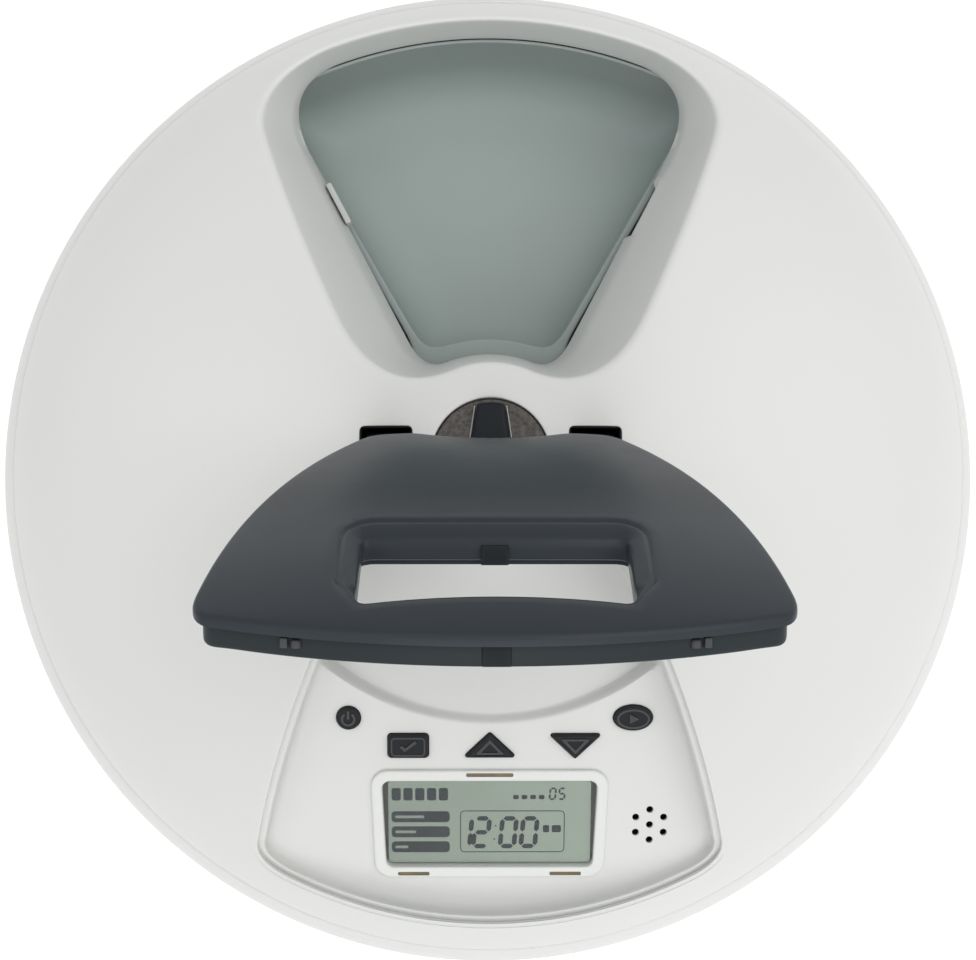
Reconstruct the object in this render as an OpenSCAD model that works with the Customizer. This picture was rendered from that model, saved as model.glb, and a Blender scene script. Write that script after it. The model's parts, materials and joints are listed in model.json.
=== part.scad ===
// Automatic pet feeder: a round food tray of six compartments turns under a domed lid, a window in
// the lid uncovers one compartment, and a hinged cover over the control panel is also the handle.
// Millimetres, +Z up, origin on the table under the middle of the base. The window faces +Y.

/* [Body] */
// Widest diameter of the feeder
body_d = 320; // [316:1:326]
// Height of the widest line above the table
rim_z = 48; // [47:0.5:49]
// Height of the dome above the widest line
dome_h = 55.6; // [55:0.2:57]
// Wall of the moulded shells
wall = 2.4; // [2.2:0.1:2.6]
// Radius of the seam between lid and base
seam_r = 154; // [153.5:0.1:154.5]
/* [Food tray] */
// Number of meals
meals = 6; // [6:1:7]
// Radius of the tray's rim
tray_r = 150; // [149:0.5:150.5]
// Height of the tray's upper edge
tray_top = 52; // [51.5:0.1:52]
// Thickness of the tray's walls and floor
tray_wall = 2; // [1.6:0.1:2.4]
/* [Window] */
// Half angle between the window's sides
window_half = 27.7; // [26:0.1:28.5]
// Draft of the window's side walls
window_draft = 21; // [19:0.5:22]
/* [Control panel] */
// Radius of the front edge of the panel recess
recess_r = 143.6; // [143:0.1:144]
// Rise of the panel for each millimetre towards the middle
panel_slope = 0.291; // [0.285:0.001:0.3]
// Travel of every button
button_travel = 1; // [0.8:0.1:1.2]
/* [Handle cover] */
// Angle that the cover is raised from closed
raised = 76; // [0:1:90]
// Depth of the two cover shells together
cover_depth = 10; // [9:0.5:10.5]
// Gap between the cover and the recess
cover_gap = 0.9; // [0.7:0.1:1.1]
/* [Lock and drive] */
// Diameter of the lock knob
knob_d = 35; // [33:0.5:35.5]
// Teeth of the gear that turns the tray
drive_teeth = 48; // [48:1:48]
// Teeth of the idler's large wheel
idler_teeth = 36; // [36:1:36]
// Teeth of the idler's small wheel
idler_small_teeth = 14; // [14:1:14]
// Teeth of the motor pinion
pinion_teeth = 12; // [12:1:12]

/* [Hidden] */
$fn = 96;
eps = 0.01;
rim_r = body_d / 2;
hub_z = rim_z + dome_h;
round_steps = 16;

// The dome is a superellipse of revolution; inset moves it inwards by a wall's thickness.
dome_power = 2.2;
function dome_z(r, inset = 0) =
  rim_z + (dome_h - inset) * sqrt(max(0, 1 - pow(min(1, r / (rim_r - inset)), dome_power)));
// The base below the widest line is part of an ellipse that ends at the foot.
foot_z = 4;
foot_r = 134;
bowl_bulge = rim_r - foot_r;
bowl_h = 46;
function bowl_r(z, inset = 0) =
  foot_r - inset + bowl_bulge * sqrt(max(0, 1 - pow((rim_z - z) / bowl_h, 2)));

module dome_solid(inset = 0, r_max = 154, z_low = 20) {
  rotate_extrude($fn = 180)
    polygon(concat(
      [[0, z_low], [r_max, z_low]],
      [for (i = [round_steps:-1:0]) let (r = r_max * sin(90 * i / round_steps)) [r, dome_z(r, inset)]]
    ));
}

// ---- base ----
base_floor = 6.6;
post_r = 12;
post_top = 49;
bayonet_plate = 4;
shaft_r = 5;
lug_len = 15;
lug_w = 3.6;
seam_z = dome_z(seam_r);
inner_lip_r = 151.8;

module base_shell() {
  steps = 10;
  color("whitesmoke") difference() {
    rotate_extrude($fn = 180)
      polygon(concat(
        [[0, foot_z], [bowl_r(foot_z), foot_z]],
        [for (i = [1:steps]) let (z = foot_z + (rim_z - foot_z) * i / steps) [bowl_r(z), z]],
        [for (i = [1:4]) let (r = rim_r - (rim_r - seam_r) * i / 4) [r, dome_z(r)]],
        [[inner_lip_r, seam_z], [inner_lip_r, seam_z - 7]],
        [for (i = [steps:-1:1])
          let (z = base_floor + (rim_z - base_floor) * i / steps) [bowl_r(z, wall), z]],
        [[bowl_r(base_floor, wall), base_floor], [0, base_floor]]
      ));
    for (a = [0:120:240]) rotate(a) translate([post_screw_r, 0, foot_z - 1])
      cylinder(d = 3.2, h = 5, $fn = 24);
    for (a = [45:90:315]) rotate(a) translate([foot_ring_r, 0, foot_z - 1])
      cylinder(d = 8, h = 5, $fn = 24);
  }
}

post_screw_r = 16;
foot_ring_r = 118;

module centre_post() {
  color("gainsboro") difference() {
    union() {
      translate([0, 0, base_floor]) cylinder(r = 21, h = 3);
      translate([0, 0, base_floor]) cylinder(r = post_r, h = post_top - base_floor);
    }
    translate([0, 0, base_floor + 4]) cylinder(r = 8.6, h = post_top - bayonet_plate - base_floor - 4);
    translate([0, 0, base_floor + 8]) cylinder(r = shaft_r + 0.3, h = post_top);
    translate([0, 0, post_top])
      cube([lug_len + 0.8, lug_w + 0.8, 3 * bayonet_plate], center = true);
    for (a = [0:120:240]) rotate(a) translate([post_screw_r, 0, base_floor - 1])
      cylinder(d = 3.2, h = 6, $fn = 24);
  }
}

module pan_screw(d, length, head_d) {
  difference() {
    union() {
      cylinder(d = d, h = length, $fn = 24);
      translate([0, 0, -1.6]) cylinder(d = head_d, h = 1.6, $fn = 24);
    }
    translate([0, 0, -1.7]) for (a = [0, 90]) rotate(a)
      cube([head_d * 0.6, 0.8, 1.8], center = true);
  }
}

module post_screws() {
  color("silver") for (a = [0:120:240]) rotate(a) translate([post_screw_r, 0, foot_z])
    pan_screw(3.1, base_floor + 3 - foot_z, 6);
}

glide_r = 100;

module tray_glide_ring() {
  color("ivory") translate([0, 0, base_floor]) rotate_extrude()
    translate([glide_r, 0]) polygon([[-4, 0], [4, 0], [4, 1.6], [1.5, 1.6], [1.5, 5.2], [-1.5, 5.2],
      [-1.5, 1.6], [-4, 1.6]]);
}

module rubber_feet() {
  color("dimgray") for (a = [45:90:315]) rotate(a) translate([foot_ring_r, 0, 0]) {
    cylinder(r1 = 9, r2 = 10, h = foot_z);
    translate([0, 0, foot_z - eps]) cylinder(d = 7.9, h = base_floor - foot_z, $fn = 32);
  }
}

// ---- food tray ----
tray_bottom = 12;
tray_side_r = 146.5;
hub_r = 42;
sleeve_r = 12.1;
dog_w = 6;
dog_in = 8;
dog_out = 16;

dog_gap = 0.2;

module food_tray() {
  color("darkgray") difference() {
    union() {
      translate([0, 0, tray_bottom]) cylinder(r = tray_side_r, h = tray_wall, $fn = 180);
      translate([0, 0, tray_bottom]) cylinder(r = hub_r + tray_wall, h = tray_top - tray_bottom);
    }
    difference() {
      translate([0, 0, tray_bottom - 1]) cylinder(r = hub_r, h = tray_top - tray_bottom - 1);
      translate([0, 0, tray_bottom - 2]) cylinder(r = sleeve_r + 3, h = tray_top);
    }
    translate([0, 0, tray_bottom - 1]) cylinder(r = sleeve_r, h = post_top + 0.6 - tray_bottom + 1);
    translate([0, 0, tray_bottom]) cylinder(r = dog_in - 2 * dog_gap, h = tray_top);
    for (a = [0:120:240]) rotate(a) translate([dog_in - 1, -dog_w / 2 - dog_gap, post_top])
      cube([dog_out - dog_in + 1.4, dog_w + 2 * dog_gap, 10]);
  }
}

// The tray's outer wall and the flange round its upper edge.
module tray_rim() {
  pocket_floor = tray_bottom + tray_wall;
  inner = tray_side_r - tray_wall;
  color("darkgray") rotate_extrude($fn = 180)
    polygon([[inner, pocket_floor], [tray_side_r, pocket_floor], [tray_side_r, tray_top - tray_wall],
      [tray_r, tray_top - tray_wall], [tray_r, tray_top], [inner, tray_top]]);
}

// The walls between the compartments, from the hub to the outer wall.
module tray_walls() {
  pocket_floor = tray_bottom + tray_wall;
  spoke_w = tray_wall + 0.6;
  inner = hub_r + tray_wall + 0.05;
  outer = tray_side_r - tray_wall - 0.05;
  color("darkgray") for (i = [0:meals - 1]) rotate(90 + (i + 0.5) * 360 / meals)
    translate([inner, -spoke_w / 2, pocket_floor]) cube([outer - inner, spoke_w, tray_top - pocket_floor]);
}

// ---- lid ----
plate_low = 54.6;
plate_top = 56.6;
window_low = 54.6;
window_top = hub_z + 4;
window_apex = -8.8;
window_outer_r = 144.5;
window_inner_r = 38;
hub_arc_a = 20;
function bezier(a, b, c, t) = a * (1 - t) * (1 - t) + 2 * b * t * (1 - t) + c * t * t;
function on_arc(r, a) = [r * sin(a), r * cos(a)];

// Right half of the window's outline, from the hub's arc round to the outer arc. tip is where the
// sides would meet, and the near and far corners are curves that start and end at the given heights.
function window_half_points(tip, inner_r, outer_r, near_y, near_end, far_start, far_a) =
  let (
    slope = tan(window_half),
    reach = -tip * cos(window_half) + sqrt(outer_r * outer_r - pow(tip * sin(window_half), 2)),
    near = [(near_y - tip) * slope, near_y],
    far = [reach * sin(window_half), tip + reach * cos(window_half)]
  )
  concat(
    [for (i = [0:3]) on_arc(inner_r, hub_arc_a * i / 3)],
    [for (i = [1:7]) bezier(on_arc(inner_r, hub_arc_a), near, [(near_end - tip) * slope, near_end], i / 7)],
    [for (i = [0:7]) bezier([(far_start - tip) * slope, far_start], far, on_arc(outer_r, far_a), i / 7)],
    [for (i = [3:-1:0]) on_arc(outer_r, far_a * i / 4)]
  );
function both_sides(half) = concat(half, [for (i = [len(half) - 2:-1:1]) [-half[i][0], half[i][1]]]);

// The window's funnel, grown all round by the thickness of its walls.
module window_cutter(grow, out = 0) {
  side = grow / sin(window_half);
  drift = (window_top - window_low) * tan(window_draft) / sin(window_half);
  difference() {
    hull() {
      translate([0, 0, window_low - 0.6]) linear_extrude(0.1)
        polygon(both_sides(window_half_points(window_apex - side, window_inner_r - grow,
          window_outer_r + grow + out, 31.5 - grow, 42, 112, 25)));
      translate([0, 0, window_top]) linear_extrude(0.1)
        polygon(both_sides(window_half_points(window_apex - side - drift, 28 - grow,
          window_outer_r + 2.8 + grow + out, 14 - grow, 45, 106, 22)));
    }
    translate([0, 0, window_low - 2])
      cylinder(r1 = window_inner_r - grow, r2 = 28 - grow, h = window_top - window_low + 4);
  }
}

// Panel recess: a fan with a concave near edge round the knob and a front edge round the axis.
fan_near = -21;
fan_corner_y = -116;
function fan_x(y) = let (d = -25 - y) 37.6 + 0.52 * d - 0.0016 * d * d;
function fan_half(g) =
  let (
    side_end = [fan_x(fan_corner_y) + g, fan_corner_y],
    front_a = -65,
    front_end = (recess_r + g) * [cos(front_a), sin(front_a)],
    corner = [fan_x(-124) + 1.6 + g, -124 - g]
  )
  concat(
    [for (i = [0:4]) let (a = -90 + 30 * i / 4) (30 - g) * [cos(a), sin(a)]],
    [[22 , fan_near + g], [34 + g, fan_near + g]],
    [for (i = [0:8]) let (y = -25 + (fan_corner_y + 25) * i / 8) [fan_x(y) + g, y]],
    [for (i = [1:5]) bezier(side_end, corner, front_end, i / 6)],
    [for (i = [0:8]) let (a = front_a - 25 * i / 8) (recess_r + g) * [cos(a), sin(a)]]
  );
module fan(g, low = 20, high = 90) {
  translate([0, 0, low]) linear_extrude(high) polygon(both_sides(fan_half(g)));
}

// The panel is a slope towards the front; a flat round well lies behind it.
panel_ref_y = -61;
panel_ref_z = 84;
panel_tilt = atan(panel_slope);
well_r = 80;
well_z = 76;
function panel_z(y) = panel_ref_z + panel_slope * (y - panel_ref_y);

module on_panel(x = 0, y = 0, w = 0) {
  translate([x, y, panel_z(y)]) rotate([panel_tilt, 0, 0]) translate([0, 0, w]) children();
}

module above_panel(drop) {
  intersection() {
    on_panel(0, -100, -drop) translate([-100, -80, 0]) cube([200, 160, 100]);
    difference() {
      cylinder(r = 170, h = 160);
      translate([0, 0, -1]) cylinder(r = well_r + drop - 0.6, h = 200);
    }
  }
  translate([0, 0, well_z - drop]) cylinder(r = well_r + drop, h = 60);
}

pivot_y = 3;
pivot_z = rim_z + 45.6;
hinge_in = 23.5;
hinge_out = 39.5;
slot_back = 9.5;
pin_r = 2;
knob_r = knob_d / 2;
knob_well_r = knob_r + 0.5;
knob_well_z = hub_z - 7;
lid_low_r = 153.4;

module hinge_slot(grow = 0, low = pivot_z - 8) {
  for (m = [0, 1]) mirror([m, 0, 0])
    translate([hinge_in - grow, fan_near - 2, low - grow])
      cube([hinge_out - hinge_in + 2 * grow, slot_back - fan_near + 2 + grow, 40]);
}

boss_r = 3.4;
lid_screw_at = [[-143, 8], [143, 8], [-92, 108], [92, 108], [-96, -104], [96, -104]];

module lid_shell() {
  color("white") difference() {
    intersection() {
      dome_solid(0, lid_low_r, seam_z + 0.3 - 8);
      union() {
        difference() {
          dome_solid(0, lid_low_r, seam_z + 0.3);
          dome_solid(wall, inner_lip_r - 2.9, 20);
        }
        translate([0, 0, seam_z - 5]) difference() {
          cylinder(r = inner_lip_r - 0.6, h = 8, $fn = 180);
          translate([0, 0, -1]) cylinder(r = inner_lip_r - 2.8, h = 10, $fn = 180);
        }
        translate([0, 0, 0.4]) window_cutter(wall);
        intersection() {
          fan(wall);
          above_panel(wall);
        }
        intersection() {
          hinge_slot(wall);
          translate([0, 0, 80]) cylinder(r = 80, h = 60);
        }
        translate([0, 0, knob_well_z - wall]) cylinder(r = knob_well_r + wall, h = 20);
        translate([0, 0, plate_top + 12]) cylinder(r = shaft_r + 2.6, h = 30, $fn = 48);
        for (p = lid_screw_at) translate([p[0], p[1], plate_top]) cylinder(r = boss_r, h = 60, $fn = 32);
        for (s = [-1, 1])
          translate([s * lug_x - notch_w / 2 - 2, lug_wall_y - notch_depth - 2, lug_z - 4.2])
            cube([notch_w + 4, notch_depth + 1, 30]);
      }
    }
    translate([0, 0, -0.5]) window_cutter(0);
    intersection() {
      fan(0);
      above_panel(0);
    }
    hinge_slot();
    translate([0, 0, knob_well_z]) cylinder(r = knob_well_r, h = 20);
    cylinder(r = shaft_r + 0.08, h = 200, $fn = 64);
    // pin bores run through both cheeks of each slot
    for (m = [0, 1]) mirror([m, 0, 0]) translate([hinge_in - wall - 0.4, pivot_y, pivot_z])
      rotate([0, 90, 0]) cylinder(r = pin_r, h = hinge_out - hinge_in + 2 * wall + 0.8, $fn = 48);
    for (p = lid_screw_at) translate([p[0], p[1], plate_top - 1]) cylinder(d = 2.6, h = 8, $fn = 24);
    panel_holes();
    // notches in the front wall for the cover's lugs
    for (s = [-1, 1]) translate([s * lug_x - notch_w / 2, lug_wall_y - notch_depth, lug_z - 1.8])
      cube([notch_w, notch_depth + 4.5, 30]);
  }
}

lug_x = 45.6;
lug_z = rim_z + 20.5;
lug_wall_y = -sqrt(recess_r * recess_r - lug_x * lug_x);
notch_w = 6.8;
notch_depth = 2.4;

// ---- control panel ----
power_at = [-44, -79.8];
enter_at = [-25.5, -88.6];
up_at = [0, -88.6];
down_at = [26.7, -88.6];
start_at = [44.6, -79.8];
power_r = 4.2;
enter_size = [13.6, 8.8];
arrow_w = 16.2;
arrow_h = 8.6;
start_size = [13, 9];
speaker_at = [50.6, -113.8];
bezel_top = -95.8;
bezel_bottom = -130.5;
bezel_half = 37.5;
bezel_half_low = 36.2;
bezel_lift = 1.4;
frame_w = 3.6;
cap_gap = 0.25;
cap_lift = 1.6;
skirt = 1.2;
skirt_z = -wall - 0.3 - skirt;
panel_len = 1 / cos(panel_tilt);

module rounded_plan(w, w_low, h, r) {
  hull() {
    for (s = [-1, 1]) {
      translate([s * (w - r), h / 2 - r]) circle(r = r, $fn = 32);
      translate([s * (w_low - r), -h / 2 + r]) circle(r = r, $fn = 32);
    }
  }
}

module button_plan(kind, g) {
  if (kind == "power") circle(r = power_r + g, $fn = 48);
  if (kind == "enter")
    rounded_plan(enter_size[0] / 2 + g, enter_size[0] / 2 + g, enter_size[1] + 2 * g, 2 + g);
  if (kind == "arrow") hull() {
    for (s = [-1, 1]) translate([s * (arrow_w / 2 - 1), -arrow_h / 2 + 1]) circle(r = 1 + g, $fn = 24);
    translate([0, arrow_h / 2 - 1]) circle(r = 1 + g, $fn = 24);
  }
  if (kind == "start") hull() {
    for (s = [-1, 1]) translate([s * (start_size[0] - start_size[1]) / 2, 0])
      circle(r = start_size[1] / 2 + g, $fn = 48);
  }
}

module at_button(which) {
  at = [power_at, enter_at, up_at, down_at, start_at][which];
  on_panel(at[0], at[1]) rotate(which == 3 ? 180 : 0) children();
}
button_kinds = ["power", "enter", "arrow", "arrow", "start"];

module panel_holes() {
  for (i = [0:4]) at_button(i) translate([0, 0, -wall - 1]) linear_extrude(wall + 4)
    button_plan(button_kinds[i], cap_gap);
  bezel_y = (bezel_top + bezel_bottom) / 2;
  bezel_len = (bezel_top - bezel_bottom) * panel_len;
  on_panel(0, bezel_y, -wall - 1) linear_extrude(wall + 2)
    rounded_plan(bezel_half - 2, bezel_half_low - 2, bezel_len - 4, 3);
  on_panel(speaker_at[0], speaker_at[1], -wall - 1) {
    cylinder(r = 1.1, h = 6, $fn = 24);
    for (a = [30:60:330]) rotate(a) translate([5.1, 0, 0]) cylinder(r = 1.1, h = 6, $fn = 24);
  }
}

// Cap above the panel, flange below it: the cap's own outline passes through the panel.
module button(which) {
  kind = button_kinds[which];
  color("dimgray") at_button(which) {
    translate([0, 0, skirt_z]) linear_extrude(-skirt_z + cap_lift) button_plan(kind, 0);
    translate([0, 0, skirt_z]) linear_extrude(skirt) button_plan(kind, 0.9);
  }
}
module power_button() { button(0); }
module enter_button() { button(1); }
module up_button() { button(2); }
module down_button() { button(3); }
module start_button() { button(4); }

mat_z = skirt_z - button_travel - 0.3 - 0.8;
board_z = mat_z - 0.1 - 1.2;

pad_y = -86;
pad_half = 52.5;
wing_in = 38.5;
wing_v = 12;

// A strip under the lower row of buttons, with a wing up to each button of the upper row.
module pad_plan(half, low_v, high_v) {
  translate([-half, low_v]) square([2 * half, high_v - low_v]);
  for (m = [0, 1]) mirror([m, 0]) translate([wing_in, high_v - 1])
    square([half - wing_in, wing_v - high_v + 1]);
}

module keypad_mat() {
  color("gray") on_panel(0, pad_y, mat_z) linear_extrude(0.8) pad_plan(pad_half, -8.3, 2.6);
}

module display_bezel() {
  bezel_y = (bezel_top + bezel_bottom) / 2;
  bezel_len = (bezel_top - bezel_bottom) * panel_len;
  color("gainsboro") on_panel(0, bezel_y) difference() {
    union() {
      translate([0, 0, 0.05]) linear_extrude(bezel_lift)
        rounded_plan(bezel_half, bezel_half_low, bezel_len, 4);
      translate([0, 0, -wall]) linear_extrude(wall + 0.1)
        rounded_plan(bezel_half - 2.2, bezel_half_low - 2.2, bezel_len - 4.4, 2.8);
    }
    translate([0, 0, -wall - 1]) linear_extrude(wall + 4)
      rounded_plan(bezel_half - frame_w, bezel_half_low - frame_w, bezel_len - 2 * frame_w, 1.6);
    // clip pockets in the frame
    translate([0, bezel_len / 2 - 1.8, bezel_lift]) cube([14, 1.6, 1], center = true);
    for (s = [-1, 1]) translate([s * 24, -bezel_len / 2 + 1.8, bezel_lift])
      cube([10, 1.6, 1], center = true);
  }
}

module display_lens() {
  bezel_len = (bezel_top - bezel_bottom) * panel_len;
  color("lightgray") on_panel(0, (bezel_top + bezel_bottom) / 2, -0.8) linear_extrude(1)
    rounded_plan(bezel_half - frame_w - 0.1, bezel_half_low - frame_w - 0.1,
      bezel_len - 2 * frame_w - 0.2, 1.5);
}

module display_panel() {
  color("darkseagreen") on_panel(0, (bezel_top + bezel_bottom) / 2, -2.9) translate([-32, -13.8, 0])
    cube([64, 27.6, 2]);
}

module control_board() {
  color("darkgreen") {
    on_panel(0, pad_y, board_z) linear_extrude(1.2) difference() {
      pad_plan(board_half, -10, 1.6);
      for (x = [-board_screw_x, board_screw_x]) translate([x, 0.5]) circle(d = 2.4, $fn = 24);
    }
    on_panel(0, pad_y, board_z - 1.5) translate([-30, -8, 0]) cube([14, 8.6, 1.5]);
    on_panel(0, pad_y, board_z - 2.4) translate([8, -8, 0]) cube([9, 9, 2.4]);
  }
}

module board_screws() {
  color("silver") on_panel(0, pad_y, board_z) for (x = [-board_screw_x, board_screw_x])
    translate([x, 0.5, 0]) pan_screw(2.2, board_rise, 4.4);
}
board_rise = -board_z - wall;
board_screw_x = 54.4;
board_half = 57.4;

module speaker() {
  color("black") on_panel(speaker_at[0], speaker_at[1], -wall - 0.1) {
    translate([0, 0, -1.2]) difference() {
      cylinder(d = 15, h = 1.2, $fn = 48);
      translate([0, 0, 0.4]) cylinder(d = 12.6, h = 2, $fn = 48);
    }
    translate([0, 0, -2.6]) cylinder(d = 8, h = 1.5, $fn = 32);
  }
}

module lid_floor() {
  color("whitesmoke") difference() {
    translate([0, 0, plate_low]) cylinder(r = inner_lip_r - 3.1, h = plate_top - plate_low, $fn = 180);
    translate([0, 0, -3]) window_cutter(wall + 0.4, 12);
    translate([0, 0, plate_low - 1]) cylinder(r = journal_r + 0.05, h = 10, $fn = 96);
    for (p = lid_screw_at) translate([p[0], p[1], plate_low - 1]) cylinder(d = 2.9, h = 4, $fn = 24);
    translate([door_x, door_y, plate_low - 1])
      translate([-door_w / 2 - 0.3, -door_l / 2 - 0.3, 0])
        cube([door_w + 0.6, door_l + door_travel + 0.6, 5]);
    for (p = gearbox_at) translate([p[0], p[1], plate_low - 1]) cylinder(d = 2.2, h = 5, $fn = 24);
    translate([idler_x, 0, plate_low - 1]) cylinder(r = 1.5, h = 5, $fn = 32);
  }
}

module lid_seal() {
  color("gray") translate([0, 0, seam_z - 3.4]) rotate_extrude($fn = 120)
    translate([inner_lip_r - 0.6, 0]) polygon([[0, 0], [0.35, 0.5], [0.35, 1.1], [0, 1.6]]);
}

module lid_screws() {
  color("silver") for (p = lid_screw_at) translate([p[0], p[1], plate_low])
    pan_screw(2.6, 7, 5);
}

// Grey bars clipped to the window's lower edge, one on each side.
module window_clips() {
  color("gainsboro") for (m = [0, 1]) mirror([m, 0, 0])
    translate([0, window_apex, 0]) rotate(-window_half) translate([-1.3, 92, window_low + 0.2])
      cube([1.8, 15, 5]);
}

// ---- drive ----
function gear_r(teeth) = teeth / 2;
idler_x = gear_r(drive_teeth) + gear_r(idler_small_teeth) + 0.1;
pinion_x = idler_x + gear_r(idler_teeth) + gear_r(pinion_teeth) + 0.1;
journal_r = 17;
drive_z = 57.2;
drive_w = 5;
wheel_z = drive_z + drive_w + 1.2;
gear_plate_z = wheel_z + drive_w + 0.6;

module gear_plan(teeth) {
  root = gear_r(teeth) - 1.25;
  tip = gear_r(teeth) + 0.9;
  pitch = 360 / teeth;
  circle(r = root, $fn = 4 * teeth);
  for (i = [0:teeth - 1]) rotate(i * pitch)
    polygon([[root - 0.4, -0.95], [gear_r(teeth), -0.66], [tip, -0.32], [tip, 0.32],
      [gear_r(teeth), 0.66], [root - 0.4, 0.95]]);
}

module drive_gear() {
  color("ivory") difference() {
    union() {
      translate([0, 0, drive_z]) linear_extrude(drive_w) gear_plan(drive_teeth);
      translate([0, 0, plate_low - 0.3]) cylinder(r = journal_r, h = drive_z - plate_low + 0.4);
      for (a = [0:120:240]) rotate(a) translate([dog_in, -dog_w / 2, post_top + 0.9])
        cube([dog_out - dog_in, dog_w, plate_low - post_top]);
    }
    translate([0, 0, 40]) cylinder(r = shaft_r + 2.4, h = 40, $fn = 64);
  }
}

module idler_gear() {
  small_turn = 180 / idler_small_teeth;
  color("ivory") translate([idler_x, 0, 0]) difference() {
    union() {
      translate([0, 0, drive_z]) rotate(180 + small_turn) linear_extrude(wheel_z - drive_z + 0.1)
        gear_plan(idler_small_teeth);
      translate([0, 0, wheel_z]) linear_extrude(drive_w) gear_plan(idler_teeth);
    }
    translate([0, 0, drive_z - 1]) cylinder(r = 1.56, h = 30, $fn = 48);
  }
}

module idler_pin() {
  color("silver") translate([idler_x, 0, plate_low + 0.2])
    cylinder(r = 1.5, h = gear_plate_z + 1.8 - plate_low - 0.2, $fn = 48);
}

module motor_pinion() {
  color("goldenrod") translate([pinion_x, 0, wheel_z]) difference() {
    rotate(180 + 180 / pinion_teeth) linear_extrude(drive_w) gear_plan(pinion_teeth);
    translate([0, 0, -1]) cylinder(r = 1, h = 20, $fn = 32);
  }
}

gearbox_at = [[idler_x + 2, 22], [idler_x + 2, -22], [pinion_x + 13, 12], [pinion_x + 13, -12]];

module gearbox_plate() {
  color("lightgray") difference() {
    union() {
      translate([0, 0, gear_plate_z]) linear_extrude(2) hull() {
        for (p = gearbox_at) translate([p[0], p[1]]) circle(r = 4, $fn = 32);
      }
      for (p = gearbox_at) translate([p[0], p[1], plate_top])
        cylinder(r = 3, h = gear_plate_z - plate_top + eps, $fn = 32);
    }
    translate([idler_x, 0, gear_plate_z - 1]) cylinder(r = 1.5, h = 5, $fn = 32);
    translate([pinion_x, 0, gear_plate_z - 1]) cylinder(r = 3.2, h = 5, $fn = 32);
    for (p = gearbox_at) translate([p[0], p[1], plate_low]) cylinder(d = 2.2, h = 9, $fn = 24);
  }
}

module gearbox_screws() {
  color("silver") for (p = gearbox_at) translate([p[0], p[1], plate_low]) pan_screw(2.2, 8, 4.4);
}

module drive_motor() {
  body_z = gear_plate_z + 2;
  color("silver") translate([pinion_x, 0, 0]) {
    translate([0, 0, body_z]) cylinder(d = 24, h = 16);
    translate([0, 0, body_z + 16]) cylinder(d = 8, h = 1.5);
    translate([0, 0, gear_plate_z + 0.3]) cylinder(r = 3, h = body_z - gear_plate_z);
    translate([0, 0, wheel_z + 0.6]) cylinder(r = 1, h = body_z - wheel_z, $fn = 32);
  }
}

module index_switch() {
  color("black") translate([-41, 5, plate_top]) {
    cube([10, 6, 5.5]);
    translate([10, 1.5, 1.5]) cube([4.4, 3, 2.5]);
  }
}

// ---- battery compartment ----
door_x = -96;
door_y = -6;
door_w = 62;
door_l = 62;
door_travel = 5;
cell_d = 14.2;
cell_l = 50;
cell_pitch = 15;
cell_z = plate_top + 1 + cell_d / 2;

module battery_box() {
  box_h = cell_d + 3.2;
  color("dimgray") translate([door_x, door_y, plate_top]) difference() {
    translate([-door_w / 2 - 1.8, -door_l / 2 - 1.8, 0])
      cube([door_w + 3.6, door_l + door_travel + 3.6, box_h]);
    translate([-door_w / 2, -door_l / 2, -1]) cube([door_w, door_l + door_travel, box_h - 0.8]);
  }
}

module cells_at() {
  for (i = [0:3]) translate([door_x + (i - 1.5) * cell_pitch, door_y, cell_z])
    rotate([i % 2 == 0 ? 90 : -90, 0, 0]) children();
}

module battery_cells() {
  color("darkslategray") cells_at() {
    translate([0, 0, -cell_l / 2]) cylinder(d = cell_d, h = cell_l - 1.2, $fn = 48);
    translate([0, 0, cell_l / 2 - 1.3]) cylinder(d = 5.2, h = 1.3, $fn = 32);
  }
}

module battery_contacts() {
  color("goldenrod") {
    for (s = [-1, 1]) translate([door_x, door_y + s * (cell_l / 2 + 4), 0])
      for (i = [-1.5:1:1.5]) translate([i * cell_pitch - 5, -0.3, plate_top + 1]) cube([10, 0.6, 13]);
    for (i = [0:3]) for (k = [0:2])
      translate([door_x + (i - 1.5) * cell_pitch, door_y, cell_z])
        rotate([i % 2 == 0 ? 90 : -90, 0, 0]) translate([0, 0, -cell_l / 2 - 0.9 - k * 1.1])
          rotate_extrude($fn = 32) translate([2.2 + 0.5 * k, 0]) circle(r = 0.42, $fn = 16);
  }
}

module battery_door() {
  color("whitesmoke") translate([door_x, door_y, plate_low]) {
    translate([-door_w / 2, -door_l / 2, 0]) difference() {
      cube([door_w, door_l, plate_top - plate_low]);
      for (i = [0:3]) translate([door_w / 2 - 8, 6 + 3 * i, -0.1]) cube([16, 1.2, 0.7]);
    }
  }
}

// ---- lock ----
knob_top = hub_z - 0.4;
grip_h = 3;

module lock_knob() {
  color("rosybrown") difference() {
    translate([0, 0, knob_well_z + 0.4]) cylinder(r = knob_r, h = knob_top - knob_well_z - 0.4);
    translate([0, 0, knob_well_z]) cylinder(r = shaft_r - 1.2, h = 4.6, $fn = 48);
  }
}

module knob_grip() {
  grip_len = 2 * knob_r - 1.4;
  color("darkslategray") intersection() {
    translate([0, 0, knob_top]) cylinder(r = knob_r - 0.5, h = 5);
    translate([0, 0, knob_top]) linear_extrude(grip_h) hull() {
      square([8.6, grip_len], center = true);
      square([12, 2], center = true);
    }
  }
}

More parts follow.
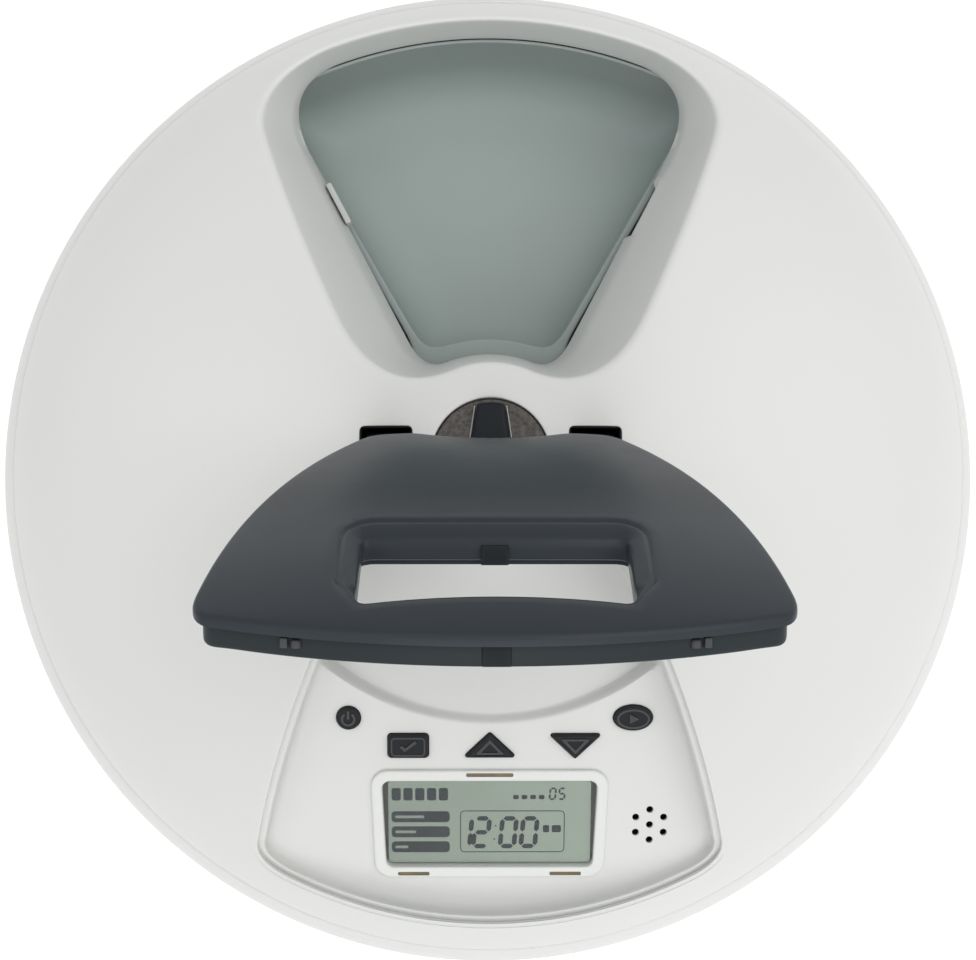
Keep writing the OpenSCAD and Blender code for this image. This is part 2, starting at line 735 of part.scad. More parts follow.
module lock_shaft() {
  lug_top = post_top - bayonet_plate - 0.3;
  color("gainsboro") {
    difference() {
      union() {
        translate([0, 0, lug_top - 5]) cylinder(r = shaft_r, h = knob_well_z + 0.4 - lug_top + 5, $fn = 64);
        translate([0, 0, knob_well_z]) cylinder(r = shaft_r - 1.2, h = 4.6, $fn = 48);
        translate([-lug_len / 2, -lug_w / 2, lug_top - 4]) cube([lug_len, lug_w, 4]);
      }
      translate([0, 0, lug_top - 6]) cylinder(r = 1.2, h = 6, $fn = 24);
      translate([0, 0, knob_well_z - 4]) cylinder(r = 1.1, h = 12, $fn = 24);
    }
  }
}

module knob_screw() {
  color("silver") translate([0, 0, knob_well_z - 3.9]) cylinder(r = 1.1, h = 8, $fn = 24);
}

// ---- handle cover ----
// Everything on the cover is drawn closed and then raised about the hinge pins.
module raise_cover() {
  translate([0, pivot_y, pivot_z]) rotate([-raised, 0, 0]) translate([0, -pivot_y, -pivot_z]) children();
}

skin = 2.2;
rim_drop = 3.2;
liner_inset = 2.3;
liner_clear = 0.9;
hand_near = -103;
hand_far = -129.8;
hand_half = 32.5;
arm_in = hinge_in + 1;
arm_out = hinge_out - 1;
arm_step = 3.8;

module layer(top, bottom, r_max = 150) {
  difference() {
    dome_solid(top, r_max, 30);
    dome_solid(bottom, r_max, 20);
  }
}

module hand_hole(grow) {
  translate([0, 0, 30]) linear_extrude(90) hull() {
    for (s = [-1, 1]) {
      translate([s * (hand_half - 4), hand_near - 4]) circle(r = 4 + grow, $fn = 32);
      translate([s * (hand_half - 4), hand_far + 4]) circle(r = 4 + grow, $fn = 32);
    }
  }
}

module handle_cover() {
  color("dimgray") raise_cover() difference() {
    union() {
      intersection() { fan(-cover_gap); layer(0.1, skin); }
      difference() {
        intersection() { fan(-cover_gap); layer(0.1, rim_drop); }
        fan(-cover_gap - 2, 10, 110);
      }
      difference() {
        intersection() { hand_hole(1.8); layer(0.1, cover_depth - 1.9); }
        hand_hole(0);
      }
    }
    hand_hole(0);
  }
}

// A bar from the pin to the cover, clear of the slot when it swings up.
module arm() {
  translate([arm_in, 0, 0]) rotate([90, 0, 90]) linear_extrude(arm_out - arm_in) hull() {
    translate([pivot_y, pivot_z]) circle(r = 5.4, $fn = 32);
    translate([-10, pivot_z + 0.4]) circle(r = 5, $fn = 32);
  }
  translate([arm_in, fan_near - 5, pivot_z - 5.2]) cube([arm_out - arm_in - arm_step, 15, 10]);
}

module hinge_arms() {
  color("dimgray") raise_cover() for (m = [0, 1]) mirror([m, 0, 0]) difference() {
    arm();
    translate([arm_in - 1, pivot_y, pivot_z]) rotate([0, 90, 0])
      cylinder(r = pin_r + 0.06, h = arm_out - arm_in + 2, $fn = 48);
  }
}

module handle_liner() {
  color("gray") raise_cover() difference() {
    union() {
      intersection() { fan(-cover_gap - liner_inset); layer(cover_depth - 1.8, cover_depth); }
      difference() {
        intersection() { fan(-cover_gap - liner_inset); layer(skin + 0.05, cover_depth); }
        fan(-cover_gap - liner_inset - 2, 10, 110);
      }
      for (p = cover_screw_at) intersection() {
        translate([p[0], p[1], 50]) cylinder(r = 3, h = 60, $fn = 32);
        layer(skin + 0.05, cover_depth);
      }
      // lugs that snap into the recess's front wall
      for (s = [-1, 1]) translate([s * lug_x - 2.6, lug_wall_y - 0.8, lug_z - 0.6])
        cube([5.2, 5, 1.8]);
    }
    hand_hole(2);
    // the front edge stays clear of the panel when the cover is closed
    on_panel(0, -150, liner_clear - 20) translate([-100, -50, 0]) cube([200, 92, 20]);
    for (m = [0, 1]) mirror([m, 0, 0]) arm();
    for (p = cover_screw_at) translate([p[0], p[1], 40]) cylinder(d = 2.4, h = 70, $fn = 24);
  }
}

cover_screw_at = [[-50, -106], [50, -106], [-42, -56], [42, -56]];

module cover_screws() {
  color("silver") raise_cover() for (p = cover_screw_at)
    translate([p[0], p[1], dome_z(norm(p), cover_depth) - 1.4])
      pan_screw(2.2, cover_depth - skin - 0.4, 4.6);
}

module hinge_pins() {
  color("silver") for (m = [0, 1]) mirror([m, 0, 0])
    translate([hinge_in - wall, pivot_y, pivot_z]) rotate([0, 90, 0])
      cylinder(r = pin_r - 0.02, h = hinge_out - hinge_in + 2 * wall, $fn = 48);
}

base_shell();
centre_post();
post_screws();
tray_glide_ring();
rubber_feet();
food_tray();
tray_rim();
tray_walls();
lid_shell();
lid_floor();
lid_seal();
lid_screws();
window_clips();
display_bezel();
display_lens();
display_panel();
control_board();
board_screws();
keypad_mat();
speaker();
gearbox_plate();
gearbox_screws();
drive_motor();
idler_pin();
index_switch();
battery_box();
battery_contacts();
battery_cells();
hinge_pins();
drive_gear();
idler_gear();
motor_pinion();
lock_knob();
knob_grip();
lock_shaft();
knob_screw();
power_button();
enter_button();
up_button();
down_button();
start_button();
handle_cover();
handle_liner();
hinge_arms();
cover_screws();
battery_door();
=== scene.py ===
"""Looks of a round automatic pet feeder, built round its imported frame.

Sizes are in millimetres unless a name says otherwise, and become metres when a mesh is made.
"""
import json
import logging
import math
from dataclasses import dataclass, field
from enum import Enum
from typing import Callable, Sequence

import bmesh
import bpy
import numpy as np
from mathutils import Matrix, Vector
from mathutils.geometry import delaunay_2d_cdt
from mathutils.kdtree import KDTree


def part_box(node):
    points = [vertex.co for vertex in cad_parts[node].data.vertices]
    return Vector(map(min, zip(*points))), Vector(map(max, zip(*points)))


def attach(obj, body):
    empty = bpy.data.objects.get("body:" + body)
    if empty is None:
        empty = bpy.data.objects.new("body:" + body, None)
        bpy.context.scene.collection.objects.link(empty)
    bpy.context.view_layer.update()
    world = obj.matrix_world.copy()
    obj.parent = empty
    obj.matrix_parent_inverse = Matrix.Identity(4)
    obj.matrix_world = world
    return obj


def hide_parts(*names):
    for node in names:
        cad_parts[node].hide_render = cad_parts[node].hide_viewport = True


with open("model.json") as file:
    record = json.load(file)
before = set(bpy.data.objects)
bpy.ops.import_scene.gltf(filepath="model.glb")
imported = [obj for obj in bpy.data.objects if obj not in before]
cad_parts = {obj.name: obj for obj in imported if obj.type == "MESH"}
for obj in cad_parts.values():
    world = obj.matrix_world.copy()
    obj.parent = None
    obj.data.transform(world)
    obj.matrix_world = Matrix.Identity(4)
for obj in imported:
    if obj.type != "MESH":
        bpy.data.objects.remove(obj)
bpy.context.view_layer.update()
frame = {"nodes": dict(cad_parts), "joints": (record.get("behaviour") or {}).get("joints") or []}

MM = 0.001
RIM_HEIGHT = 48.0
DOME_RISE = 55.6
KNOB_TOP = 103.2
RAISED_DEGREES = 76.0
LOG = logging.getLogger("feeder")
Height = Callable[[np.ndarray, np.ndarray], np.ndarray]
Colour = tuple[float, float, float]


# ---- shader wiring ----
class Value:
    """A node's output socket. Arithmetic on it adds the matching nodes."""

    def __init__(self, wiring: "Wiring", socket: bpy.types.NodeSocket) -> None:
        """Keeps the socket and the wiring that it belongs to."""
        self.wiring, self.socket = wiring, socket

    def __add__(self, other: "Operand") -> "Value":
        """Sum."""
        return self.wiring.combine("ADD", self, other)

    def __radd__(self, other: "Operand") -> "Value":
        """Sum, with the socket on the right."""
        return self.wiring.combine("ADD", other, self)

    def __sub__(self, other: "Operand") -> "Value":
        """Difference."""
        return self.wiring.combine("SUBTRACT", self, other)

    def __rsub__(self, other: "Operand") -> "Value":
        """Difference, with the socket on the right."""
        return self.wiring.combine("SUBTRACT", other, self)

    def __mul__(self, other: "Operand") -> "Value":
        """Product."""
        return self.wiring.combine("MULTIPLY", self, other)

    def __rmul__(self, other: "Operand") -> "Value":
        """Product, with the socket on the right."""
        return self.wiring.combine("MULTIPLY", other, self)

    def __truediv__(self, other: "Operand") -> "Value":
        """Quotient."""
        return self.wiring.combine("DIVIDE", self, other)

    def above(self, level: float, soft: float) -> "Value":
        """A mask that rises from 0 to 1 about a level.

        Args:
            level: the value at which the mask is one half.
            soft: the distance over which it rises.

        Returns:
            The mask, kept between 0 and 1.
        """
        return self.wiring.node("ShaderNodeMapRange", {"clamp": True}, {
            0: self, 1: level - soft / 2, 2: level + soft / 2, 3: 0.0, 4: 1.0})


Operand = Value | float | tuple


class Wiring:
    """One material and the nodes in it."""

    def __init__(self, name: str) -> None:
        """Makes an empty node material.

        Args:
            name: the material's name.
        """
        self.material = bpy.data.materials.new(name)
        self.material.use_nodes = True
        self.tree = self.material.node_tree
        self.tree.nodes.clear()

    def node(self, kind: str, settings: dict | None = None, inputs: dict | None = None,
             out: int | str = 0) -> Value:
        """Adds any node.

        Args:
            kind: the node's type.
            settings: its properties; stops are a colour ramp's (position, colour) pairs.
            inputs: values or links of its sockets, by name or number.
            out: the output wanted.

        Returns:
            That output.
        """
        made = self.tree.nodes.new(kind)
        for name, value in (settings or {}).items():
            if name == "stops":
                ramp = made.color_ramp
                ramp.elements.remove(ramp.elements[-1])
                for index, (place, shade) in enumerate(value):
                    stop = ramp.elements[0] if index == 0 else ramp.elements.new(place)
                    stop.position, stop.color = place, (*shade, 1.0)
            else:
                setattr(made, name, value)
        for name, value in (inputs or {}).items():
            if isinstance(value, Value):
                self.tree.links.new(value.socket, made.inputs[name])
            else:
                made.inputs[name].default_value = value
        return Value(self, made.outputs[out])

    def combine(self, operation: str, first: Operand, second: Operand) -> Value:
        """Adds the node that works out first operation second.

        Args:
            operation: a Math node's operation.
            first: the left operand.
            second: the right operand.

        Returns:
            The result.
        """
        kinds = {item.socket.type for item in (first, second) if isinstance(item, Value)}
        if "RGBA" in kinds:
            first, second = (item if isinstance(item, (Value, tuple)) else (item,) * 3 + (1.0,)
                             for item in (first, second))
            return self.node("ShaderNodeMix", {"data_type": "RGBA", "blend_type": operation},
                             {0: 1.0, 6: first, 7: second}, 2)
        if "VECTOR" in kinds:
            first, second = (item if isinstance(item, (Value, tuple)) else (item,) * 3
                             for item in (first, second))
            return self.node("ShaderNodeVectorMath", {"operation": operation}, {0: first, 1: second})
        return self.node("ShaderNodeMath", {"operation": operation}, {0: first, 1: second})

    def blend(self, factor: Operand, first: Colour | Value, second: Colour | Value) -> Value:
        """Mixes two colours.

        Args:
            factor: 0 gives the first, 1 the second.
            first: a colour.
            second: a colour.

        Returns:
            The mixed colour.
        """
        first, second = (item if isinstance(item, Value) else (*item, 1.0) for item in (first, second))
        return self.node("ShaderNodeMix", {"data_type": "RGBA"}, {0: factor, 6: first, 7: second}, 2)

    def place(self) -> Value:
        """The point on the piece, in metres."""
        return self.node("ShaderNodeTexCoord", out="Object")

    def axis(self, letter: str) -> Value:
        """One coordinate of the point on the piece, in metres."""
        return self.node("ShaderNodeSeparateXYZ", None, {0: self.place()}, letter)

    def noise(self, size: float, detail: float = 3.0, stretch: Colour = (1.0, 1.0, 1.0)) -> Value:
        """Soft random values about one half.

        Args:
            size: the width of its features.
            detail: how many finer layers it has.
            stretch: the share of that size along each axis, as a divisor.

        Returns:
            The noise.
        """
        return self.node("ShaderNodeTexNoise", {"noise_dimensions": "3D"}, {
            "Vector": self.place() * stretch, "Scale": 1 / (size * MM), "Detail": detail})

    def cells(self, size: float) -> Value:
        """Distance to the nearest of many scattered points."""
        return self.node("ShaderNodeTexVoronoi", {"feature": "F1"}, {
            "Vector": self.place(), "Scale": 1 / (size * MM)})

    def edges(self, gain: float) -> Value:
        """A mask of the convex edges."""
        point = self.node("ShaderNodeNewGeometry", out="Pointiness")
        return point.above(0.5 + 0.5 / gain, 0.8 / gain)

    def bump(self, height: Value, depth: float) -> Value:
        """A normal from a height.

        Args:
            height: the height, from 0 to 1.
            depth: how deep it is.

        Returns:
            The normal.
        """
        return self.node("ShaderNodeBump", None, {"Strength": 1.0, "Distance": depth * MM, "Height": height})

    def surface(self, colour: Value, roughness: Value, normal: Value | None = None,
                metallic: float = 0.0, alpha: Value | None = None, **fixed: float) -> None:
        """Finishes the material with a principled shader.

        Args:
            colour: the base colour.
            roughness: the roughness.
            normal: the bumped normal.
            metallic: 1 for bare metal.
            alpha: how solid it is.
            **fixed: constants of the shader's own sockets, with _ for each space.
        """
        inputs = {"Base Color": colour, "Roughness": roughness, "Metallic": metallic}
        if normal:
            inputs["Normal"] = normal
        if alpha:
            inputs["Alpha"] = alpha
        inputs.update({name.replace("_", " "): value for name, value in fixed.items()})
        shader = self.node("ShaderNodeBsdfPrincipled", None, inputs)
        self.node_out(shader)

    def node_out(self, shader: Value) -> None:
        """Links a shader to the material's output."""
        out = self.tree.nodes.new("ShaderNodeOutputMaterial")
        self.tree.links.new(shader.socket, out.inputs["Surface"])


@dataclass(frozen=True)
class Finish:
    """A finish that can be put on a piece; its material is made once."""

    label: str

    def material(self) -> bpy.types.Material:
        """The finish's material, made at its first use.

        Returns:
            The material.
        """
        name = f"{self.label}_finish"
        found = bpy.data.materials.get(name)
        if found:
            return found
        wiring = Wiring(name)
        self.wire(wiring)
        return wiring.material

    def wire(self, wiring: Wiring) -> None:
        """Fills the material's nodes.

        Args:
            wiring: the empty material.
        """
        raise NotImplementedError


@dataclass(frozen=True)
class MouldedPlastic(Finish):
    """Injection-moulded plastic: faint flow clouds, spark-eroded grain and rubbed edges."""

    colour: Colour = (0.7, 0.7, 0.7)
    roughness: float = 0.4
    grain: float = 0.45
    depth: float = 0.006
    cloud: float = 0.03
    worn: float = 0.06
    warm: Colour = (1.0, 1.0, 1.0)
    gloss: float = 0.5

    def tone(self, wiring: Wiring) -> Operand:
        """A further share of the colour's tone."""
        return 1.0

    def wire(self, wiring: Wiring) -> None:
        """Fills the material's nodes.

        Args:
            wiring: the empty material.
        """
        clouds = wiring.noise(70, 2)
        speckle = wiring.noise(1.1, 2)
        tone = 1 - self.cloud + clouds * (2 * self.cloud) + (speckle - 0.5) * (0.6 * self.cloud)
        tone = tone * self.tone(wiring)
        dark = wiring.blend(clouds, self.colour, tuple(a * b for a, b in zip(self.colour, self.warm)))
        shaded = dark * wiring.node("ShaderNodeCombineColor", None, {0: tone, 1: tone, 2: tone})
        light = tuple(min(1.0, channel * (1 + 4 * self.worn) + 0.3 * self.worn) for channel in self.colour)
        colour = wiring.blend(wiring.edges(8) * (0.6 * clouds + 0.2), shaded, light)
        rubbed = wiring.noise(16, 3, (1.0, 2.2, 1.0))
        roughness = self.roughness + (rubbed - 0.5) * 0.12 + (speckle - 0.5) * 0.05
        grain = wiring.noise(self.grain, 2) * 0.7 + wiring.cells(self.grain * 1.6) * 0.3
        wiring.surface(colour, roughness, wiring.bump(grain, self.depth), IOR=1.46,
                       Specular_IOR_Level=self.gloss)


@dataclass(frozen=True)
class DeepPlastic(MouldedPlastic):
    """Moulded plastic with painted shade: a little darker at its upper edges, which catch more light, than deep
    down.
    """

    low: float = 16.0
    high: float = 50.0
    painted_top_shade: float = 0.22

    def tone(self, wiring: Wiring) -> Operand:
        """Painted shade by height; see the base class."""
        middle, reach = (self.low + self.high) / 2, self.high - self.low
        # painted shade: the higher parts, which catch more light, are made darker
        return 1 - wiring.axis("Z").above(middle * MM, reach * MM) * self.painted_top_shade


@dataclass(frozen=True)
class StoneKnob(Finish):
    """Warm grey moulding with a coarse, stone-like texture."""

    colour: Colour = (0.055, 0.051, 0.046)
    fleck: Colour = (0.12, 0.11, 0.10)

    def wire(self, wiring: Wiring) -> None:
        """Fills the material's nodes.

        Args:
            wiring: the empty material.
        """
        pits = wiring.cells(1.3)
        grit = wiring.noise(0.8, 4)
        flecks = (grit * 0.6 + pits * 0.55).above(0.6, 0.3)
        colour = wiring.blend(flecks, self.colour, self.fleck)
        colour = wiring.blend(wiring.noise(9, 2).above(0.55, 0.3) * 0.4, colour, (0.09, 0.075, 0.062))
        relief = grit * 0.6 + pits * 0.4
        wiring.surface(colour, 0.62 + (grit - 0.5) * 0.3, wiring.bump(relief, 0.16))


@dataclass(frozen=True)
class Metal(Finish):
    """Turned or drawn metal with fine tool marks."""

    colour: Colour = (0.6, 0.6, 0.6)
    roughness: float = 0.3
    lay: Colour = (1.0, 1.0, 14.0)

    def wire(self, wiring: Wiring) -> None:
        """Fills the material's nodes.

        Args:
            wiring: the empty material.
        """
        marks = wiring.noise(1.4, 3, self.lay)
        stains = wiring.noise(7, 3)
        colour = wiring.blend(stains.above(0.6, 0.4) * 0.5, self.colour,
                              tuple(channel * 0.72 for channel in self.colour))
        wiring.surface(colour, self.roughness + (marks - 0.5) * 0.25 + (stains - 0.5) * 0.2,
                       wiring.bump(marks, 0.01), metallic=1.0)


@dataclass(frozen=True)
class SoftRubber(Finish):
    """Matt rubber with a talc-like bloom."""

    colour: Colour = (0.03, 0.03, 0.03)

    def wire(self, wiring: Wiring) -> None:
        """Fills the material's nodes.

        Args:
            wiring: the empty material.
        """
        bloom = wiring.noise(5, 4)
        pores = wiring.cells(0.7)
        colour = wiring.blend(bloom.above(0.55, 0.5) * 0.5, self.colour,
                              tuple(channel * 1.7 + 0.01 for channel in self.colour))
        wiring.surface(colour, 0.72 + (bloom - 0.5) * 0.2, wiring.bump(pores, 0.03), Sheen_Weight=0.1)


@dataclass(frozen=True)
class ClearWindow(Finish):
    """Clear moulded window with a hard gloss and a little haze."""

    tint: Colour = (0.72, 0.78, 0.74)

    def wire(self, wiring: Wiring) -> None:
        """Fills the material's nodes.

        Args:
            wiring: the empty material.
        """
        haze = wiring.noise(11, 4)
        colour = wiring.blend(haze, self.tint, tuple(channel * 0.92 for channel in self.tint))
        wiring.surface(colour, 0.06 + haze * 0.08, wiring.bump(wiring.noise(24, 1), 0.02),
                       alpha=0.02 + haze * 0.04, Coat_Weight=0.6, Coat_Roughness=0.05)


@dataclass(frozen=True)
class CrystalFilm(Finish):
    """Reflective liquid-crystal film: grey green, with its fine cell grid and painted light that brightens it
    towards +x, leaving painted shade at the left.
    """

    colour: Colour = (0.265, 0.315, 0.262)

    def wire(self, wiring: Wiring) -> None:
        """Fills the material's nodes.

        Args:
            wiring: the empty material.
        """
        # painted light: lighter towards +x, as if lit from the right, and darker at the left as if shaded
        painted_light_ramp = wiring.axis("X").above(0.006, 0.07)
        tint = wiring.blend(painted_light_ramp, self.colour, tuple(channel * 1.28 for channel in self.colour))
        weave = wiring.node("ShaderNodeTexBrick", {"offset": 0.0}, {
            "Vector": wiring.place(), "Scale": 1 / (0.9 * MM),
            "Color1": (1, 1, 1, 1), "Color2": (0.97, 0.98, 0.96, 1),
            "Mortar": (0.9, 0.93, 0.9, 1), "Mortar Size": 0.03, "Brick Width": 0.5, "Row Height": 0.5})
        spots = wiring.noise(9, 3).above(0.5, 0.9)
        colour = wiring.blend(spots * 0.3, tint * weave, tuple(channel * 0.86 for channel in self.colour))
        wiring.surface(colour, 0.32 + (spots - 0.5) * 0.1, Specular_IOR_Level=0.3)


@dataclass(frozen=True)
class CircuitBoard(Finish):
    """Solder mask over copper tracks."""

    colour: Colour = (0.015, 0.09, 0.035)

    def wire(self, wiring: Wiring) -> None:
        """Fills the material's nodes.

        Args:
            wiring: the empty material.
        """
        tracks = wiring.node("ShaderNodeTexBrick", {"offset": 0.37, "squash": 1.6, "squash_frequency": 3}, {
            "Vector": wiring.place(), "Scale": 1 / (5 * MM), "Mortar Size": 0.03,
            "Brick Width": 0.9, "Row Height": 0.22}, "Fac")
        lit = tuple(channel * 2.2 for channel in self.colour)
        cloud = wiring.noise(12, 2)
        colour = wiring.blend(tracks * (0.5 + cloud * 0.5), self.colour, lit)
        wiring.surface(colour, 0.3 + (cloud - 0.5) * 0.1, wiring.bump(tracks, 0.04))


@dataclass(frozen=True)
class CellJacket(Finish):
    """Battery film: dark, with a coppery band at one end and faint rolling marks."""

    dark: Colour = (0.02, 0.025, 0.03)
    band: Colour = (0.45, 0.22, 0.09)
    middle: float = -6.0
    reach: float = 15.0

    def wire(self, wiring: Wiring) -> None:
        """Fills the material's nodes.

        Args:
            wiring: the empty material.
        """
        along = wiring.axis("Y")
        end = along.above((self.middle + self.reach) * MM, 0.0006)
        scuff = wiring.noise(3, 4, (1.0, 0.2, 1.0))
        colour = wiring.blend(end, self.dark, self.band)
        colour = wiring.blend(scuff.above(0.62, 0.1) * 0.25, colour, (0.3, 0.3, 0.3))
        wiring.surface(colour, 0.28 + (scuff - 0.5) * 0.2, wiring.bump(scuff, 0.01))


@dataclass(frozen=True)
class PaleFloor(Finish):
    """Plain pale studio floor that glows a little, so that shadows stay soft."""

    colour: Colour = (0.93, 0.93, 0.93)
    glow: float = 0.3

    def wire(self, wiring: Wiring) -> None:
        """Fills the material's nodes.

        Args:
            wiring: the empty material.
        """
        cloud = wiring.noise(400, 2)
        colour = wiring.blend(cloud, self.colour, tuple(channel * 0.985 for channel in self.colour))
        wiring.surface(colour, 0.9 + (cloud - 0.5) * 0.05, Specular_IOR_Level=0.1,
                       Emission_Color=(1.0, 1.0, 1.0, 1.0), Emission_Strength=self.glow)


IVORY: Colour = (1.0, 0.995, 0.985)
SHELL = MouldedPlastic("shell_white", (0.755, 0.762, 0.745), 0.42, cloud=0.012, worn=0.02, warm=IVORY)
BASE = MouldedPlastic("base_white", (0.745, 0.752, 0.735), 0.44, cloud=0.014, worn=0.02, warm=IVORY)
# tray_grey carries painted shade that darkens its upper edges and spokes
TRAY = DeepPlastic("tray_grey", (0.40, 0.462, 0.448), 0.46, cloud=0.03, warm=(1.0, 0.98, 0.97), gloss=0.3)
COVER = MouldedPlastic("cover_grey", (0.034, 0.041, 0.049), 0.31, 0.5, 0.006, 0.06, 0.04,
                       (1.0, 0.98, 0.94), 0.2)
LINER = MouldedPlastic("liner_grey", (0.031, 0.038, 0.042), 0.4, 0.5, 0.01, 0.06, 0.05, gloss=0.1)
BLOCK = MouldedPlastic("block_grey", (0.016, 0.020, 0.023), 0.42, 0.5, 0.01, 0.06, 0.05, gloss=0.1)
BUTTON = MouldedPlastic("button_grey", (0.018, 0.021, 0.023), 0.5, 0.35, 0.012, 0.08, 0.05, gloss=0.2)
MARK = MouldedPlastic("button_mark", (0.052, 0.056, 0.057), 0.5, 0.35, 0.01, 0.05, 0.05, gloss=0.3)
GRIP = MouldedPlastic("grip_black", (0.011, 0.014, 0.019), 0.42, 0.4, 0.01, 0.08, 0.06, gloss=0.2)
KNOB = StoneKnob("knob_stone")
BEZEL = MouldedPlastic("bezel_white", (0.79, 0.80, 0.775), 0.36, cloud=0.012, worn=0.02)
BLACK = MouldedPlastic("speaker_black", (0.006, 0.006, 0.007), 0.6, cloud=0.1, worn=0.02, gloss=0.2)
CLIP = MouldedPlastic("clip_grey", (0.56, 0.57, 0.55), 0.45, cloud=0.02)
BOX = MouldedPlastic("box_grey", (0.10, 0.105, 0.11), 0.5, cloud=0.04)
NYLON = MouldedPlastic("nylon", (0.66, 0.64, 0.56), 0.4, cloud=0.02, warm=(1.0, 0.98, 0.92))
INK = MouldedPlastic("display_ink", (0.022, 0.028, 0.036), 0.5, 0.3, 0.002, 0.1, 0.0, gloss=0.1)
PALE_INK = MouldedPlastic("display_pale_ink", (0.26, 0.29, 0.25), 0.4, 0.3, 0.002, 0.1, 0.0, gloss=0.2)
# display_green carries painted light, lighter towards +x and shaded at the left
FILM = CrystalFilm("display_green")
WINDOW = ClearWindow("lens_clear")
STEEL = Metal("steel", (0.58, 0.58, 0.57), 0.32)
PIN = Metal("pin_steel", (0.55, 0.55, 0.56), 0.24, (14.0, 1.0, 1.0))
CAN = Metal("motor_steel", (0.5, 0.5, 0.51), 0.34)
BRASS = Metal("brass_gear", (0.62, 0.44, 0.17), 0.3)
SPRING = Metal("contact_metal", (0.62, 0.58, 0.46), 0.28)
BRONZE = Metal("clip_bronze", (0.19, 0.15, 0.095), 0.5)
RUBBER = SoftRubber("foot_rubber", (0.022, 0.022, 0.022))
SEAL = SoftRubber("seal_grey", (0.10, 0.104, 0.104))
MAT = SoftRubber("mat_rubber", (0.14, 0.14, 0.14))
BOARD = CircuitBoard("board_green")
CELL = CellJacket("cell_jacket")
FLOOR = PaleFloor("studio_floor")


# ---- outlines ----
FEWEST_POINTS = 8
CHUNK = 3000


def even(loop: np.ndarray, step: float) -> np.ndarray:
    """Spaces a closed loop's points evenly along its first two columns.

    Args:
        loop: points in two or more columns.
        step: the wanted spacing.

    Returns:
        The new points, with the other columns carried along.
    """
    ring = np.vstack([loop, loop[:1]])
    run = np.concatenate([[0], np.cumsum(np.linalg.norm(np.diff(ring[:, :2], axis=0), axis=1) + 1e-9)])
    count = max(FEWEST_POINTS, round(run[-1] / step))
    at = np.arange(count) * run[-1] / count
    return np.stack([np.interp(at, run, column) for column in ring.T], axis=1)


def soften(loop: np.ndarray, reach: float, step: float) -> np.ndarray:
    """Rounds a closed, evenly spaced loop with a Gaussian along it.

    Args:
        loop: the points, or one value for each.
        reach: the Gaussian's width.
        step: the points' spacing.

    Returns:
        The rounded loop.
    """
    width = max(1, int(3 * reach / step))
    offsets = np.arange(-width, width + 1)
    weights = np.exp(-0.5 * (offsets * step / reach) ** 2)
    total = sum(weight * np.roll(loop, shift, axis=0) for weight, shift in zip(weights, offsets))
    return total / weights.sum()


def counterclockwise(loop: np.ndarray) -> np.ndarray:
    """The loop, turned round if it runs clockwise.

    Args:
        loop: the points.

    Returns:
        The same points, counterclockwise.
    """
    x, y = loop[:, 0], loop[:, 1]
    area = np.dot(x, np.roll(y, -1)) - np.dot(y, np.roll(x, -1))
    return loop if area > 0 else loop[::-1]


def grow(loop: np.ndarray, by: float | np.ndarray) -> np.ndarray:
    """Moves a counterclockwise loop outwards in plan.

    Args:
        loop: the points, of which two columns are used.
        by: the distance, or one for each point.

    Returns:
        The moved loop, in two columns.
    """
    along = np.roll(loop[:, :2], -1, axis=0) - np.roll(loop[:, :2], 1, axis=0)
    along /= np.linalg.norm(along, axis=1, keepdims=True) + 1e-12
    return loop[:, :2] + np.stack([along[:, 1], -along[:, 0]], axis=1) * np.reshape(by, (-1, 1))


def circle(radius: float, count: int, x: float = 0.0, y: float = 0.0) -> np.ndarray:
    """Points on a circle."""
    angle = np.arange(count) * 2 * math.pi / count
    return np.stack([x + radius * np.cos(angle), y + radius * np.sin(angle)], axis=1)


def arc(radius: float, start: float, end: float, count: int) -> np.ndarray:
    """Points on an arc about the axis, from one angle in degrees to another."""
    angle = np.radians(np.linspace(start, end, count))
    return np.stack([radius * np.cos(angle), radius * np.sin(angle)], axis=1)


def bezier(a: np.ndarray, b: np.ndarray, c: np.ndarray, count: int) -> list[np.ndarray]:
    """Points, or whole rings, on a quadratic curve from a to c that is pulled towards b."""
    return [a * (1 - t) ** 2 + 2 * b * t * (1 - t) + c * t * t for t in np.linspace(0, 1, count)]


def rounded(corners: Sequence[tuple[float, float, float]], closed: bool = False, count: int = 6) -> np.ndarray:
    """A line through corners, each turned with its own radius.

    Args:
        corners: x, y and radius of each.
        closed: whether the last corner joins the first.
        count: points on each arc.

    Returns:
        The points.
    """
    points: list[np.ndarray] = []
    total = len(corners)
    for index, (x, y, radius) in enumerate(corners):
        here = np.array([x, y])
        if radius <= 0 or (not closed and index in (0, total - 1)):
            points.append(here)
            continue
        back = np.array(corners[index - 1][:2]) - here
        ahead = np.array(corners[(index + 1) % total][:2]) - here
        shortest = 0.48 * min(np.linalg.norm(back), np.linalg.norm(ahead))
        back, ahead = back / np.linalg.norm(back), ahead / np.linalg.norm(ahead)
        half = math.acos(max(-1.0, min(1.0, float(back @ ahead)))) / 2
        reach = min(radius / max(math.tan(half), 1e-3), shortest)
        middle = here + (back + ahead) / np.linalg.norm(back + ahead) * reach / max(math.cos(half), 1e-3)
        start, end = here + back * reach - middle, here + ahead * reach - middle
        sweep = math.pi - 2 * half
        for t in np.linspace(0, 1, count):
            mixed = (start * math.sin((1 - t) * sweep) + end * math.sin(t * sweep)) / math.sin(sweep)
            points.append(middle + mixed)
    return np.array(points)


def box_outline(left: float, right: float, low: float, high: float, radius: float) -> np.ndarray:
    """A rectangle with round corners."""
    corners = ((left, low), (right, low), (right, high), (left, high))
    return rounded([(*corner, radius) for corner in corners], True)


def mirrored(half: np.ndarray) -> np.ndarray:
    """Closes a right half, drawn from the middle to the middle, with its mirror image."""
    return counterclockwise(np.vstack([half, half[-2:0:-1] * [-1, 1]]))


